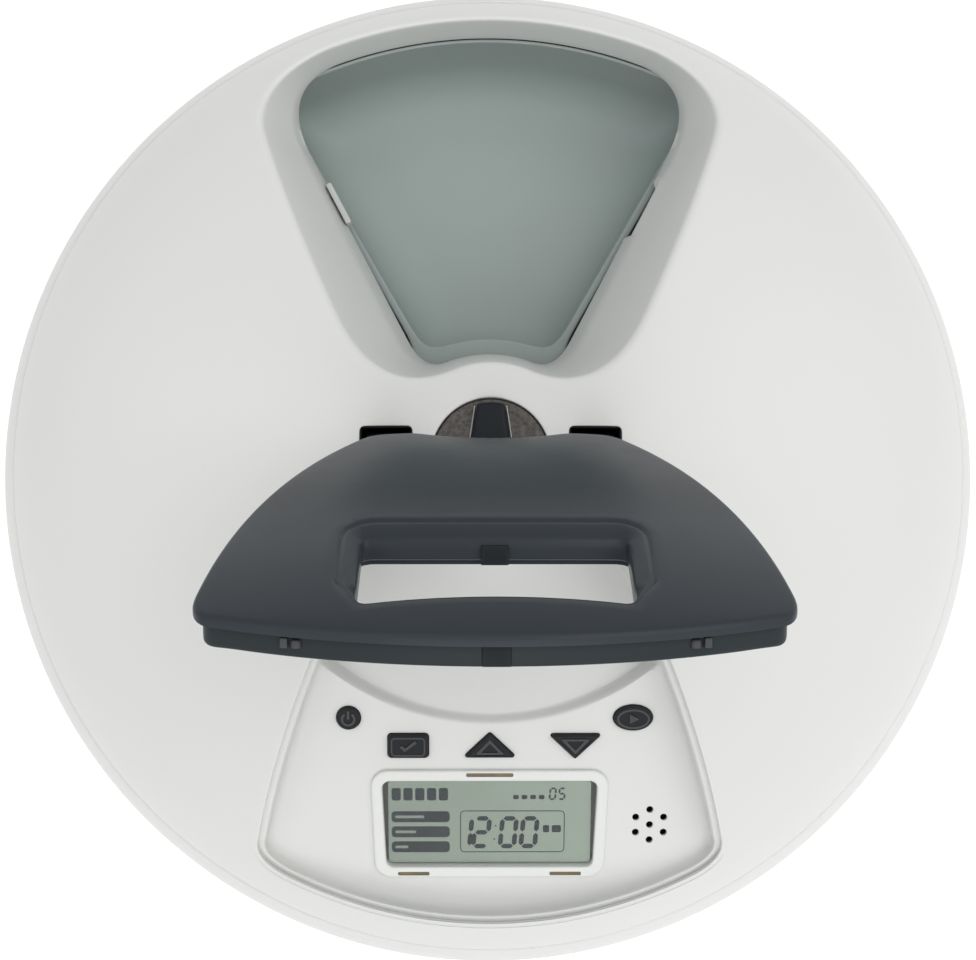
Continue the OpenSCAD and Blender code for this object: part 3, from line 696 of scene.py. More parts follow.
def inside(points: np.ndarray, loop: np.ndarray) -> np.ndarray:
    """Which points lie inside a closed loop.

    Args:
        points: the points to test.
        loop: the loop, in two or more columns.

    Returns:
        True or False for each point.
    """
    first, second = loop[:, :2], np.roll(loop[:, :2], -1, axis=0)
    rise = second[:, 1] - first[:, 1]
    rise = np.where(np.abs(rise) < 1e-12, 1e-12, rise)
    result = []
    for part in np.array_split(points, max(1, len(points) // CHUNK)):
        x, y = part[:, :1], part[:, 1:2]
        spans = (first[:, 1] > y) != (second[:, 1] > y)
        left = x < (second[:, 0] - first[:, 0]) * (y - first[:, 1]) / rise + first[:, 0]
        result.append((spans & left).sum(axis=1) % 2 == 1)
    return np.concatenate(result)


def at_angles(loop: np.ndarray, centre: np.ndarray, angles: np.ndarray) -> np.ndarray:
    """Where a loop crosses rays from a centre.

    Args:
        loop: a loop that is seen whole from the centre.
        centre: the rays' start.
        angles: the rays' directions, in radians.

    Returns:
        One point for each ray.
    """
    offset = even(loop, 0.4) - centre
    own = np.arctan2(offset[:, 1], offset[:, 0])
    order = np.argsort(own)
    radius = np.interp(angles, own[order], np.hypot(*offset.T)[order], period=2 * math.pi)
    return centre + np.stack([np.cos(angles), np.sin(angles)], axis=1) * radius[:, None]


def lifted(loop: np.ndarray, height: float | np.ndarray) -> np.ndarray:
    """A plan loop at a height, in three columns."""
    return np.column_stack([loop[:, :2], np.broadcast_to(height, len(loop))])


# ---- meshes ----
class Skin:
    """Collects the points and faces of one piece."""

    def __init__(self, frame_matrix: Matrix | None = None) -> None:
        """Starts empty.

        Args:
            frame_matrix: where local points lie in the whole, with its offset in millimetres.
        """
        self.frame = frame_matrix or Matrix.Identity(4)
        self.points: list[np.ndarray] = []
        self.faces: list[tuple[int, ...]] = []
        self.count = 0

    def add(self, points: np.ndarray) -> int:
        """Adds points.

        Args:
            points: the points, in three columns.

        Returns:
            The number of the first.
        """
        matrix = np.array(self.frame)
        self.points.append(points @ matrix[:3, :3].T + matrix[:3, 3])
        self.count += len(points)
        return self.count - len(points)

    def band(self, rings: Sequence[np.ndarray]) -> None:
        """Joins closed rings of equal length with quads.

        Args:
            rings: the rings, in order.
        """
        total = len(rings[0])
        starts = [self.add(ring) for ring in rings]
        for low, high in zip(starts, starts[1:]):
            self.faces += [(low + i, low + (i + 1) % total, high + (i + 1) % total, high + i)
                           for i in range(total)]

    def patch(self, outer: np.ndarray, holes: Sequence[np.ndarray], height: Height, spacing: float,
              extra: np.ndarray | None = None) -> None:
        """Fills the region between loops with a surface.

        Args:
            outer: the outer loop in plan.
            holes: the loops left open.
            height: the height over the plan.
            spacing: the distance between inner points.
            extra: further points that the surface passes through.
        """
        loops = [outer[:, :2], *(hole[:, :2] for hole in holes)]
        border = np.vstack(loops)
        edges, start = [], 0
        for loop in loops:
            edges += [(start + i, start + (i + 1) % len(loop)) for i in range(len(loop))]
            start += len(loop)
        tree = KDTree(len(border))
        for index, point in enumerate(border):
            tree.insert((*point, 0.0), index)
        tree.balance()
        low, high = border.min(axis=0), border.max(axis=0)
        inner = [] if extra is None else [extra]
        for pitch, near, far in ((spacing, 1.2, 1e9), (spacing / 2, 0.4, 1.2)):
            rows = np.arange(low[1], high[1], pitch * 0.866)
            grid = np.array([(x + (row % 2) * pitch / 2, y) for row, y in enumerate(rows)
                             for x in np.arange(low[0], high[0], pitch)]).reshape(-1, 2)
            gap = np.array([tree.find((*point, 0.0))[2] for point in grid])
            inner.append(grid[(gap > near * spacing) & (gap <= far * spacing)])
        free = np.vstack(inner)
        keep = inside(free, loops[0])
        for hole in loops[1:]:
            keep &= ~inside(free, hole)
        every = np.vstack([border, free[keep]])
        flat, _, faces, *_ = delaunay_2d_cdt([Vector(p) for p in every], edges, [], 0, 1e-6, False)
        plan = np.array([tuple(p) for p in flat])
        faces = np.array(faces)
        middle = plan[faces].mean(axis=1)
        keep = inside(middle, loops[0])
        for hole in loops[1:]:
            keep &= ~inside(middle, hole)
        first = self.add(np.column_stack([plan, height(plan[:, 0], plan[:, 1])]))
        self.faces += [tuple(first + corner for corner in face) for face in faces[keep].tolist()]

    def lid(self, outer: np.ndarray, height: float, spacing: float, holes: Sequence[np.ndarray] = ()) -> None:
        """Closes a loop with a flat face at a height."""
        self.patch(outer, holes, lambda x, y: np.full(len(x), height), spacing)

    def lathe(self, profile: np.ndarray, segments: int, x: float = 0.0, y: float = 0.0) -> None:
        """Turns a profile of radius and height about an upright axis."""
        self.band([lifted(circle(max(radius, 0.0), segments, x, y), z) for radius, z in profile])

    def tile(self, outline: np.ndarray, low: float, high: float, edge: float, crown: float = 0.0) -> None:
        """A closed plate with a rounded upper edge.

        Args:
            outline: its plan, counterclockwise.
            low: the height of its underside.
            high: the height of its upper edge's end.
            edge: the radius of that edge.
            crown: how far its middle rises, or sinks if negative.
        """
        inner = grow(outline, -edge)
        flat = lifted(outline, low)
        self.band([flat, lifted(outline, high - edge)])
        self.band(bezier(lifted(outline, high - edge), lifted(outline, high), lifted(inner, high), 5))
        size = float(np.ptp(outline, axis=0).min())
        centre, reach = inner.mean(axis=0), np.ptp(inner, axis=0) / 2 + 1e-6

        def top(x: np.ndarray, y: np.ndarray) -> np.ndarray:
            """The crowned upper face."""
            across, along = (x - centre[0]) / reach[0], (y - centre[1]) / reach[1]
            return high + crown * np.clip(1 - across ** 2, 0, 1) * np.clip(1 - along ** 2, 0, 1)

        if crown:
            self.band([lifted(inner, high), lifted(inner, top(inner[:, 0], inner[:, 1]))])
        self.patch(inner, [], top, max(size / 7, 0.3))
        self.lid(outline, low, max(size / 3, 0.6))

    def piece(self, name: str, finish: Finish, crease: float = 35.0,
              thickness: float = 0.0) -> bpy.types.Object:
        """Makes the piece.

        Args:
            name: the piece's name.
            finish: its finish.
            crease: the angle in degrees above which an edge stays sharp.
            thickness: the wall added below the surface, or 0 for none.

        Returns:
            The new object.
        """
        mesh = bpy.data.meshes.new(name)
        mesh.from_pydata((np.vstack(self.points) * MM).tolist(), [], self.faces)
        form = bmesh.new()
        form.from_mesh(mesh)
        bmesh.ops.remove_doubles(form, verts=form.verts, dist=2e-6)
        bmesh.ops.dissolve_degenerate(form, edges=form.edges, dist=1e-7)
        loose = [point for point in form.verts if not point.link_faces]
        bmesh.ops.delete(form, geom=loose, context="VERTS")
        bmesh.ops.recalc_face_normals(form, faces=form.faces)
        highest = max(form.faces, key=lambda face: face.calc_center_median().z)
        if thickness and highest.normal.z < 0:
            bmesh.ops.reverse_faces(form, faces=form.faces)
        form.to_mesh(mesh)
        form.free()
        made = bpy.data.objects.new(name, mesh)
        bpy.context.scene.collection.objects.link(made)
        if thickness:
            wall = made.modifiers.new("wall", "SOLIDIFY")
            wall.thickness, wall.offset = thickness * MM, -1.0
            bpy.context.view_layer.update()
            solid = made.evaluated_get(bpy.context.evaluated_depsgraph_get())
            made.data = bpy.data.meshes.new_from_object(solid)
            made.modifiers.clear()
        made.data.polygons.foreach_set("use_smooth", [True] * len(made.data.polygons))
        made.data.set_sharp_from_angle(angle=math.radians(crease))
        made.data.materials.clear()
        made.data.materials.append(finish.material())
        LOG.info("%s: %d faces", name, len(made.data.polygons))
        return made


def fit(piece: bpy.types.Object, body: str, slot: str, *nodes: str) -> None:
    """Mounts a piece on its body.

    Args:
        piece: the new piece.
        body: the body that it moves with.
        slot: the record's material slot; not used.
        *nodes: the nodes that it stands for.
    """
    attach(piece, body)
    if nodes:
        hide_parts(*nodes)


def span(node: str) -> tuple[np.ndarray, np.ndarray]:
    """A node's lowest and highest corners, in millimetres."""
    low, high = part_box(node)
    return np.array(low) / MM, np.array(high) / MM


# ---- shared shape of the feeder ----
@dataclass(frozen=True)
class Dome:
    """The domed upper surface: a superellipse of revolution above the widest line."""

    radius: float
    base: float
    rise: float
    power: float = 2.2

    def at(self, x: np.ndarray, y: np.ndarray, inset: float = 0.0) -> np.ndarray:
        """Height over the plan.

        Args:
            x: the points' first coordinates.
            y: the points' second coordinates.
            inset: how far the surface is moved inwards.

        Returns:
            The heights.
        """
        share = np.minimum(1.0, np.hypot(x, y) / (self.radius - inset))
        return self.base + (self.rise - inset) * np.sqrt(np.maximum(0.0, 1 - share ** self.power))

    def ring(self, loop: np.ndarray, inset: float = 0.0, drop: float | np.ndarray = 0.0) -> np.ndarray:
        """A plan loop laid on the dome, or lowered from it."""
        return lifted(loop, self.at(loop[:, 0], loop[:, 1], inset) - drop)


@dataclass(frozen=True)
class Panel:
    """The sloping control panel and the flat round well behind it."""

    y: float = -61.0
    z: float = 84.0
    slope: float = 0.291
    well_radius: float = 80.0
    well_floor: float = 76.0
    step: float = 3.4
    slot_floor: float = 85.6
    slot_front: float = -22.0
    slot_inner: float = 23.0

    def height(self, y: np.ndarray | float) -> np.ndarray | float:
        """Height of the sloping face."""
        return self.z + self.slope * (y - self.y)

    def floor(self, x: np.ndarray, y: np.ndarray) -> np.ndarray:
        """Height of the recess's floor: slope, round well and hinge slots.

        Args:
            x: the points' first coordinates.
            y: the points' second coordinates.

        Returns:
            The heights.
        """
        share = np.clip((np.hypot(x, y) - self.well_radius) / self.step + 0.5, 0, 1)
        share = share * share * (3 - 2 * share)
        level = self.well_floor + (self.height(y) - self.well_floor) * share
        in_slot = np.clip((y - self.slot_front) / 0.6 + 0.5, 0, 1) * (np.abs(x) > self.slot_inner)
        return level + (self.slot_floor - level) * in_slot

    def frame(self, x: float, y: float, lift: float = 0.0) -> Matrix:
        """A frame on the sloping face, with its third axis out of it."""
        turn = Matrix.Rotation(math.atan(self.slope), 4, "X")
        return Matrix.Translation((x, y, self.height(y))) @ turn @ Matrix.Translation((0, 0, lift))

    def plan(self, outline: np.ndarray, x: float, y: float) -> np.ndarray:
        """An outline drawn on the sloping face, seen in plan."""
        return outline * [1, math.cos(math.atan(self.slope))] + [x, y]


@dataclass(frozen=True)
class Fan:
    """Outline of the panel recess, and of the cover that closes it."""

    near_radius: float = 30.0
    near_y: float = -21.0
    near_x: float = 34.0
    inner_x: float = 22.2
    front_radius: float = 143.6
    corner_y: float = -116.0
    front_angle: float = -65.0

    def side(self, y: np.ndarray | float) -> np.ndarray | float:
        """Half width at a distance in front of the axis."""
        d = -25 - y
        return 37.6 + 0.52 * d - 0.0016 * d * d

    def half(self, by: float, slot: tuple[float, float, float] | None = None) -> np.ndarray:
        """Right half, from the near edge's middle round to the front's.

        Args:
            by: how far the outline is moved outwards.
            slot: inner x, outer x and back y of the hinge slot that joins it.

        Returns:
            The points.
        """
        near = arc(self.near_radius - by, -90, -60, 8)
        if slot:
            inner, outer, back = slot
            corner = rounded([(self.inner_x, self.near_y, 0), (inner, self.near_y + 1.2, 0.4),
                              (inner, back, 0.9), (outer, back, 0.9), (outer, self.near_y - 6, 1.0),
                              (self.side(-33.0), -33.0, 0)])
            start = -34.0
        else:
            corner = np.array([(self.inner_x, self.near_y + by), (self.near_x + by, self.near_y + by)])
            start = -25.0
        ys = np.linspace(start, self.corner_y, 40)
        sides = np.stack([self.side(ys) + by, ys], axis=1)
        front = arc(self.front_radius + by, self.front_angle, -90, 24)
        pull = np.array([self.side(-124.0) + 1.6 + by, -124.0 - by])
        turn = np.array(bezier(sides[-1], pull, front[0], 10))
        return np.vstack([near, corner, sides, turn[1:-1], front])

    def loop(self, by: float, step: float, round_by: float,
             slot: tuple[float, float, float] | None = None) -> np.ndarray:
        """The whole outline, evenly spaced and with softened corners."""
        return soften(even(mirrored(self.half(by, slot)), step), round_by, step)


class Key(Enum):
    """The five buttons of the panel."""

    POWER = "power"
    ENTER = "enter"
    UP = "up"
    DOWN = "down"
    START = "start"


@dataclass(frozen=True)
class Button:
    """One button of the panel: its outline, place and raised mark."""

    kind: Key
    lift: float = 1.6
    skirt: float = 3.9
    edge: float = 0.75
    trim: float = 0.6

    def centre(self, panel: Panel) -> tuple[float, float]:
        """Where the cap stands on the panel.

        Args:
            panel: the face that it stands on.

        Returns:
            Its x and y.
        """
        low, high = span(f"{self.kind.value}_button")
        x, y = (low[:2] + high[:2]) / 2
        tilt = math.atan(panel.slope)
        middle = (self.lift - self.skirt) / 2
        return float(x), float(y + middle * math.sin(tilt))

    def outline(self, by: float = 0.0) -> np.ndarray:
        """The cap's plan in its own frame.

        Args:
            by: how far it is moved outwards.

        Returns:
            The points.
        """
        by = by - self.trim
        plans = {
            Key.POWER: circle(4.2 + by, 56),
            Key.ENTER: box_outline(-6.8 - by, 6.8 + by, -4.4 - by, 4.4 + by, 1.5 + by),
            Key.UP: rounded([(-9.5, -4.3, 1.0), (9.5, -4.3, 1.0), (0, 5.0, 1.0)], True, 8),
            Key.DOWN: rounded([(-9.5, 4.3, 1.0), (0, -5.0, 1.0), (9.5, 4.3, 1.0)], True, 8),
            Key.START: circle(1.0, 72) * [6.6 + by, 4.6 + by],
        }
        plan = even(plans[self.kind], 0.45)
        return grow(plan, by) if self.kind in (Key.UP, Key.DOWN) else plan

    def marks(self) -> list[tuple[np.ndarray, np.ndarray | None]]:
        """The raised generic sign.

        Returns:
            Outlines, each with the hole in it.
        """
        if self.kind is Key.POWER:
            gap = np.radians(np.linspace(125, 415, 40))
            outer = np.stack([np.cos(gap), np.sin(gap)], axis=1)
            ring = np.vstack([outer * 2.3, outer[::-1] * 1.55])
            return [(ring, None), (box_outline(-0.38, 0.38, -0.1, 2.7, 0.3), None)]
        if self.kind is Key.ENTER:
            frame_in = box_outline(-4.9, 4.9, -2.6, 2.6, 0.8)
            tick = np.array([(-2.6, -0.2), (-1.0, -1.6), (2.8, 1.3), (2.1, 2.0), (-0.9, -0.4), (-1.9, 0.5)])
            return [(grow(even(frame_in, 0.4), 0.45), frame_in), (tick, None)]
        if self.kind is Key.START:
            oval = circle(1.0, 48)
            arrow = np.array([(-1.1, -1.5), (1.8, 0.0), (-1.1, 1.5)])
            return [(oval * [5.1, 3.2], oval * [4.5, 2.6]), (arrow, None)]
        sign = 1 if self.kind is Key.UP else -1
        outer = rounded([(-4.6, -2.5 * sign, 0.3), (4.6, -2.5 * sign, 0.3), (0, 2.4 * sign, 0.3)], True, 4)
        outer = counterclockwise(outer)
        return [(outer, outer * 0.62 + [0, -0.35 * sign])]

    def build(self, panel: Panel) -> None:
        """Makes the cap and its mark.

        Args:
            panel: the face that it stands on.
        """
        x, y = self.centre(panel)
        frame_here = panel.frame(x, y)
        cap = Skin(frame_here)
        outline = counterclockwise(self.outline())
        cap.tile(outline, -self.skirt + 1.2, self.lift, self.edge, -0.35)
        cap.tile(grow(outline, 0.8), -self.skirt, -self.skirt + 1.2, 0.25)
        body, name = f"{self.kind.value}_key", f"{self.kind.value}_cap"
        fit(cap.piece(name, BUTTON), body, "button_grey", f"{self.kind.value}_button")
        sign = Skin(frame_here)
        top, low = self.lift + 0.12, self.lift - 0.8
        for outer, hole in self.marks():
            outer = counterclockwise(even(outer, 0.3))
            holes = []
            if hole is not None:
                inner = counterclockwise(even(hole, 0.3))
                holes = [inner]
                sign.band([lifted(inner, low), lifted(inner, top)])
            sign.band([lifted(outer, low), lifted(outer, top)])
            sign.lid(outer, top, 0.7, holes)
            sign.lid(outer, low, 0.7, holes)
        fit(sign.piece(f"{self.kind.value}_mark", MARK, 20), body, "button_grey")


BUTTONS = [Button(kind) for kind in Key]


@dataclass
class Lid:
    """The domed lid: window funnel, panel recess, hinge slots and knob well in one moulding."""

    dome: Dome
    panel: Panel
    fan: Fan
    radius: float = 153.4
    seam_drop: float = 0.45
    lip_radius: float = 151.2
    lip_low: float = 58.8
    wall: float = 1.5
    apex: float = -8.8
    half_angle: float = 27.7
    draft: float = 21.0
    window_low: float = 54.6
    window_high: float = 107.6
    slot: tuple[float, float, float] = (23.5, 39.5, 9.5)
    knob_well: float = 18.0
    knob_floor: float = 96.6
    shaft: float = 5.2
    ledge: float = 2.1
    ledge_drop: float = 3.3
    ledge_side: float = 2.2
    bezel: tuple[float, float, float, float] = (35.5, 34.2, -95.8, -130.5)
    speaker: tuple[float, float] = (50.6, -113.8)
    spacing: float = 4.0

    def window_half(self, tip: float, inner: float, outer: float, near_y: float, near_end: float,
                    far_start: float, far_angle: float) -> np.ndarray:
        """Right half of the window's outline at one level.

        Args:
            tip: where the sides would meet.
            inner: radius of the hub's arc.
            outer: radius of the outer arc.
            near_y: how far the near corner is pulled in.
            near_end: where that corner becomes the side.
            far_start: where the side becomes the far corner.
            far_angle: where that corner becomes the outer arc, in degrees.

        Returns:
            The points, from the hub's arc to the outer arc.
        """
        angle = math.radians(self.half_angle)
        slope, hub_angle = math.tan(angle), 20
        reach = -tip * math.cos(angle) + math.sqrt(outer ** 2 - (tip * math.sin(angle)) ** 2)

        def on_side(y: float) -> np.ndarray:
            """A point of the side."""
            return np.array([(y - tip) * slope, y])

        hub = arc(inner, 90, 90 - hub_angle, 10)
        rim = arc(outer, 90 - far_angle, 90, 24)
        far = np.array([reach * math.sin(angle), tip + reach * math.cos(angle)])
        side = [on_side(near_end) * (1 - t) + on_side(far_start) * t for t in np.linspace(0, 1, 24)[1:-1]]
        return np.vstack([hub, bezier(hub[-1], on_side(near_y), on_side(near_end), 14)[1:], side,
                          bezier(on_side(far_start), far, rim[0], 14), rim[1:]])

    def window(self) -> tuple[np.ndarray, np.ndarray]:
        """The window's outline on the dome and at its lower edge, point by point.

        Returns:
            Two rings of equal length, in three columns.
        """
        drift = (self.window_high - self.window_low) * math.tan(math.radians(self.draft))
        drift /= math.sin(math.radians(self.half_angle))
        low = self.window_half(self.apex, 38, 144.5, 31.5, 42, 104, 21)
        high = self.window_half(self.apex - drift, 28, 147.3, 14, 45, 106, 22)
        near, far = np.zeros(len(low)), np.ones(len(low))
        for _ in range(40):
            middle = (near + far) / 2
            spot = low + (high - low) * middle[:, None]
            level = self.window_low + (self.window_high - self.window_low) * middle
            under = level < self.dome.at(spot[:, 0], spot[:, 1])
            near, far = np.where(under, middle, near), np.where(under, far, middle)
        top = low + (high - low) * near[:, None]
        both = np.column_stack([top, low])
        both = np.vstack([both, both[-2:0:-1] * [-1, 1, -1, 1]])
        if (counterclockwise(both) != both).any():
            both = both[::-1]
        step = 1.5
        both = soften(even(both, step), 1.6, step)
        return self.dome.ring(both[:, :2]), lifted(both[:, 2:], self.window_low)

    def funnel(self, skin: Skin) -> np.ndarray:
        """Adds the window's funnel.

        Args:
            skin: the lid's surface.

        Returns:
            The loop that it leaves in the dome.
        """
        top, low = self.window()
        down = low - top
        length = np.linalg.norm(down, axis=1, keepdims=True)
        edge = 2.6
        outer = self.dome.ring(grow(top, edge * 0.9))
        start = top + down / length * edge
        skin.band(bezier(outer, top, start, 7))
        foot = low + [0, 0, 1.2]
        beside = (low[:, 0] > 0) & (low[:, 1] > 77.5) & (low[:, 1] < 95.0)
        shift = soften(np.where(beside, 1.5, 0.0), 0.35, 1.5)
        shelf = foot + (start - foot) * 0.14
        skin.band([start + (shelf - start) * t for t in np.linspace(0, 1, 7)])
        cut = lifted(grow(shelf, shift), shelf[:, 2] - 0.15)
        lower = lifted(grow(foot, shift), foot[:, 2])
        lip = lifted(grow(low, shift + 3.6), low[:, 2] - 0.15)
        corner = lifted(grow(low, shift + 0.4), low[:, 2] - 0.15)
        skin.band([shelf, cut, lower, corner, lip])
        return outer

    def recess(self, skin: Skin) -> np.ndarray:
        """Adds the panel recess with its slots and holes.

        Args:
            skin: the lid's surface.

        Returns:
            The loop that it leaves in the dome.
        """
        step = 0.9
        loop = self.fan.loop(0.0, step, 0.75, self.slot)
        x, y = loop.T
        front = np.hypot(x, y) > self.fan.front_radius - 3
        slots = (y > self.panel.slot_front) & (np.abs(x) > self.panel.slot_inner - 1)
        edge = soften(np.where(slots, 0.35, 0.6), 1.5, step)
        ledge = soften(np.where(y < -42, self.ledge, 0.0), 3.0, step)
        foot = soften(np.where(front, 4.6, np.where(y < -45, 2.6, 0.5)), 4.0, step)
        foot = np.where(y > -30, 0.4, foot)
        outer = self.dome.ring(grow(loop, edge))
        top = self.dome.ring(loop)
        start = self.dome.ring(loop, drop=edge)
        skin.band(bezier(outer, top, start, 5))
        low = soften(np.where(front, self.ledge_drop, self.ledge_side), 4.0, step)
        seat = self.dome.ring(loop, drop=low)
        skin.band([start + (seat - start) * t for t in np.linspace(0, 1, 3)])
        loop = grow(loop, -ledge)
        x, y = loop.T
        floor = self.panel.floor(x, y)
        step_edge = self.dome.ring(loop, drop=low)
        wall_top = self.dome.ring(loop, drop=low + 0.6 * ledge + 0.1)
        lip = self.dome.ring(grow(loop, 0.6 * ledge), drop=low)
        skin.band([seat] + bezier(lip, step_edge, wall_top, 5))
        base = lifted(loop, floor + foot)
        skin.band([wall_top + (base - wall_top) * t for t in np.linspace(0, 1, 5)])
        inner = grow(loop, -foot)
        inner_ring = lifted(inner, self.panel.floor(*inner.T))
        skin.band(bezier(base, lifted(loop, floor), inner_ring, 6))
        holes = self.holes(skin)
        arcs = [arc(self.panel.well_radius + shift, -150, -30, 190) for shift in
                (-2.0, -1.5, -1.0, -0.5, 0.0, 0.5, 1.0, 1.5, 2.0)]
        lines = [np.stack([np.arange(-39, 39.1, 1.0), np.full(79, self.panel.slot_front + shift)], axis=1)
                 for shift in (-0.4, 0.4)]
        skin.patch(inner, holes, self.panel.floor, 2.4, np.vstack(arcs + lines))
        return outer

    def holes(self, skin: Skin) -> list[np.ndarray]:
        """Adds the panel's holes with their walls.

        Args:
            skin: the lid's surface.

        Returns:
            Their loops in the recess's floor.
        """
        half, half_low, high, low = self.bezel
        window = rounded([(-half, high, 3), (-half_low, low, 3), (half_low, low, 3), (half, high, 3)], True)
        centre = (high + low) / 2
        loops = [(window - [0, centre]) * [1, 0.94] + [0, centre]]
        for button in BUTTONS:
            loops.append(self.panel.plan(button.outline(0.28), *button.centre(self.panel)))
        sx, sy = self.speaker
        spots = [(0.0, 0.0)] + [(5.1 * math.cos(a), 5.1 * math.sin(a))
                                for a in np.radians(np.arange(30, 360, 60))]
        loops += [self.panel.plan(circle(1.1, 20, dx, dy), sx, sy) for dx, dy in spots]
        opened = []
        for loop in loops:
            loop = counterclockwise(loop)
            outer = grow(loop, 0.22)
            rings = bezier(lifted(outer, self.panel.floor(*outer.T)), lifted(loop, self.panel.floor(*loop.T)),
                           lifted(loop, self.panel.floor(*loop.T) - 0.3), 4)
            skin.band(rings + [lifted(loop, self.panel.floor(*loop.T) - 2.2)])
            opened.append(outer)
        return opened

    def build(self) -> None:
        """Makes the lid's shell and the black hinge sleeves in its slots."""
        skin = Skin()
        window = self.funnel(skin)
        recess = self.recess(skin)
        knob = circle(self.knob_well, 120)
        knob_top = self.dome.ring(grow(knob, 0.7))
        skin.band(bezier(knob_top, self.dome.ring(knob), self.dome.ring(knob, drop=0.7), 5))
        floor = self.knob_floor
        profile = rounded([(self.knob_well, float(self.dome.at(self.knob_well, 0)) - 0.7, 0),
                           (self.knob_well, floor, 0.8), (self.shaft, floor, 0.3), (self.shaft, floor - 5, 0)])
        skin.lathe(profile, 120)
        rim = self.dome.ring(circle(self.radius - 0.7, 420))
        edge = self.dome.ring(circle(self.radius, 420))
        foot = edge - [0, 0, self.seam_drop]
        skin.band(bezier(rim, edge, foot, 5))
        low = float(foot[0, 2])
        skin.lathe(np.array([(self.radius, low), (self.lip_radius, low), (self.lip_radius, self.lip_low)]), 420)
        skin.patch(rim, [window, recess, knob_top], self.dome.at, self.spacing)
        fit(skin.piece("lid", SHELL, 40, self.wall), "lid", "shell_white", "lid_shell")
        self.sleeves()

    def sleeves(self) -> None:
        """Lines each hinge slot with a black sleeve, open towards the recess."""
        inner, outer, back = self.slot
        floor, front = self.panel.slot_floor, self.panel.slot_front
        for side, name in ((1, "hinge_sleeve_right"), (-1, "hinge_sleeve_left")):
            edge = even(box_outline(inner + 0.05, outer - 0.05, front + 0.8, back - 0.05, 0.9), 0.6)
            hollow = grow(edge, -0.5)

            def rim(loop: np.ndarray) -> np.ndarray:
                """Height of the sleeve's rim."""
                share = np.clip((loop[:, 1] - front - 2.0) / 1.5, 0, 1)
                return floor + 0.4 + (self.dome.at(*loop.T) - 0.25 - floor - 0.4) * share

            skin = Skin(Matrix.Diagonal((side, 1, 1, 1)))
            skin.band([lifted(edge, floor + 0.05), lifted(edge, rim(edge)), lifted(hollow, rim(hollow)),
                       lifted(hollow, floor + 0.25)])
            skin.lid(hollow, floor + 0.25, 3)
            skin.lid(edge, floor + 0.05, 3)
            fit(skin.piece(name, BLACK), "lid", "speaker_black")


@dataclass
class Base:
    """The bowl-shaped base, the rings under it and its rubber feet."""

    dome: Dome
    foot_z: float = 4.0
    foot_radius: float = 134.0
    bowl_height: float = 46.0
    wall: float = 2.4
    floor: float = 6.6
    seam: float = 154.0
    lip: float = 151.8
    lip_depth: float = 7.0
    feet_radius: float = 118.0

    def bowl(self, z: float, inset: float = 0.0) -> float:
        """Radius of the bowl at a height."""
        share = max(0.0, 1 - ((self.dome.base - z) / self.bowl_height) ** 2)
        return self.foot_radius - inset + (self.dome.radius - self.foot_radius) * math.sqrt(share)

    def build(self) -> None:
        """Makes the base and its feet."""
        top = float(self.dome.at(self.seam, 0))
        outside = [(0, self.foot_z + 0.7), (88, self.foot_z + 0.7), (89, self.foot_z), (104, self.foot_z),
                   (105, self.foot_z + 0.7), (127, self.foot_z + 0.7), (128, self.foot_z),
                   (self.foot_radius, self.foot_z)]
        rise = [(self.bowl(z), z) for z in np.linspace(self.foot_z + 0.6, self.dome.base, 22)]
        upper = [(r, float(self.dome.at(r, 0))) for r in np.linspace(self.dome.radius, self.seam + 0.3, 12)[1:]]
        corner = [(self.seam, top - 0.3), (self.seam - 0.2, top - 0.02), (self.lip + 0.3, top - 0.02),
                  (self.lip, top - 0.3), (self.lip, top - self.lip_depth)]
        inner = [(self.bowl(z, self.wall), z) for z in np.linspace(self.dome.base, self.floor + 1.5, 16)]
        last = self.bowl(self.floor, self.wall)
        floor = [(last - 2, self.floor + 0.2), (last - 5, self.floor), (0, self.floor)]
        profile = outside + rise + upper + corner + inner + floor
        skin = Skin()
        skin.lathe(np.array(profile), 320)
        fit(skin.piece("base", BASE, 30), "base", "base_white", "base_shell")
        foot = rounded([(0, 0.7, 0), (5.5, 0.7, 0.3), (6.2, 0, 0.4), (9, 0, 0.6), (10, self.foot_z, 0.2),
                        (3.9, self.foot_z, 0), (3.9, self.foot_z + 2.4, 0.3), (0, self.foot_z + 2.4, 0)],
                       count=5)
        feet = Skin()
        for angle in np.radians(np.arange(45, 360, 90)):
            feet.lathe(foot, 48, self.feet_radius * math.cos(angle), self.feet_radius * math.sin(angle))
        fit(feet.piece("feet", RUBBER), "base", "foot_rubber", "rubber_feet")


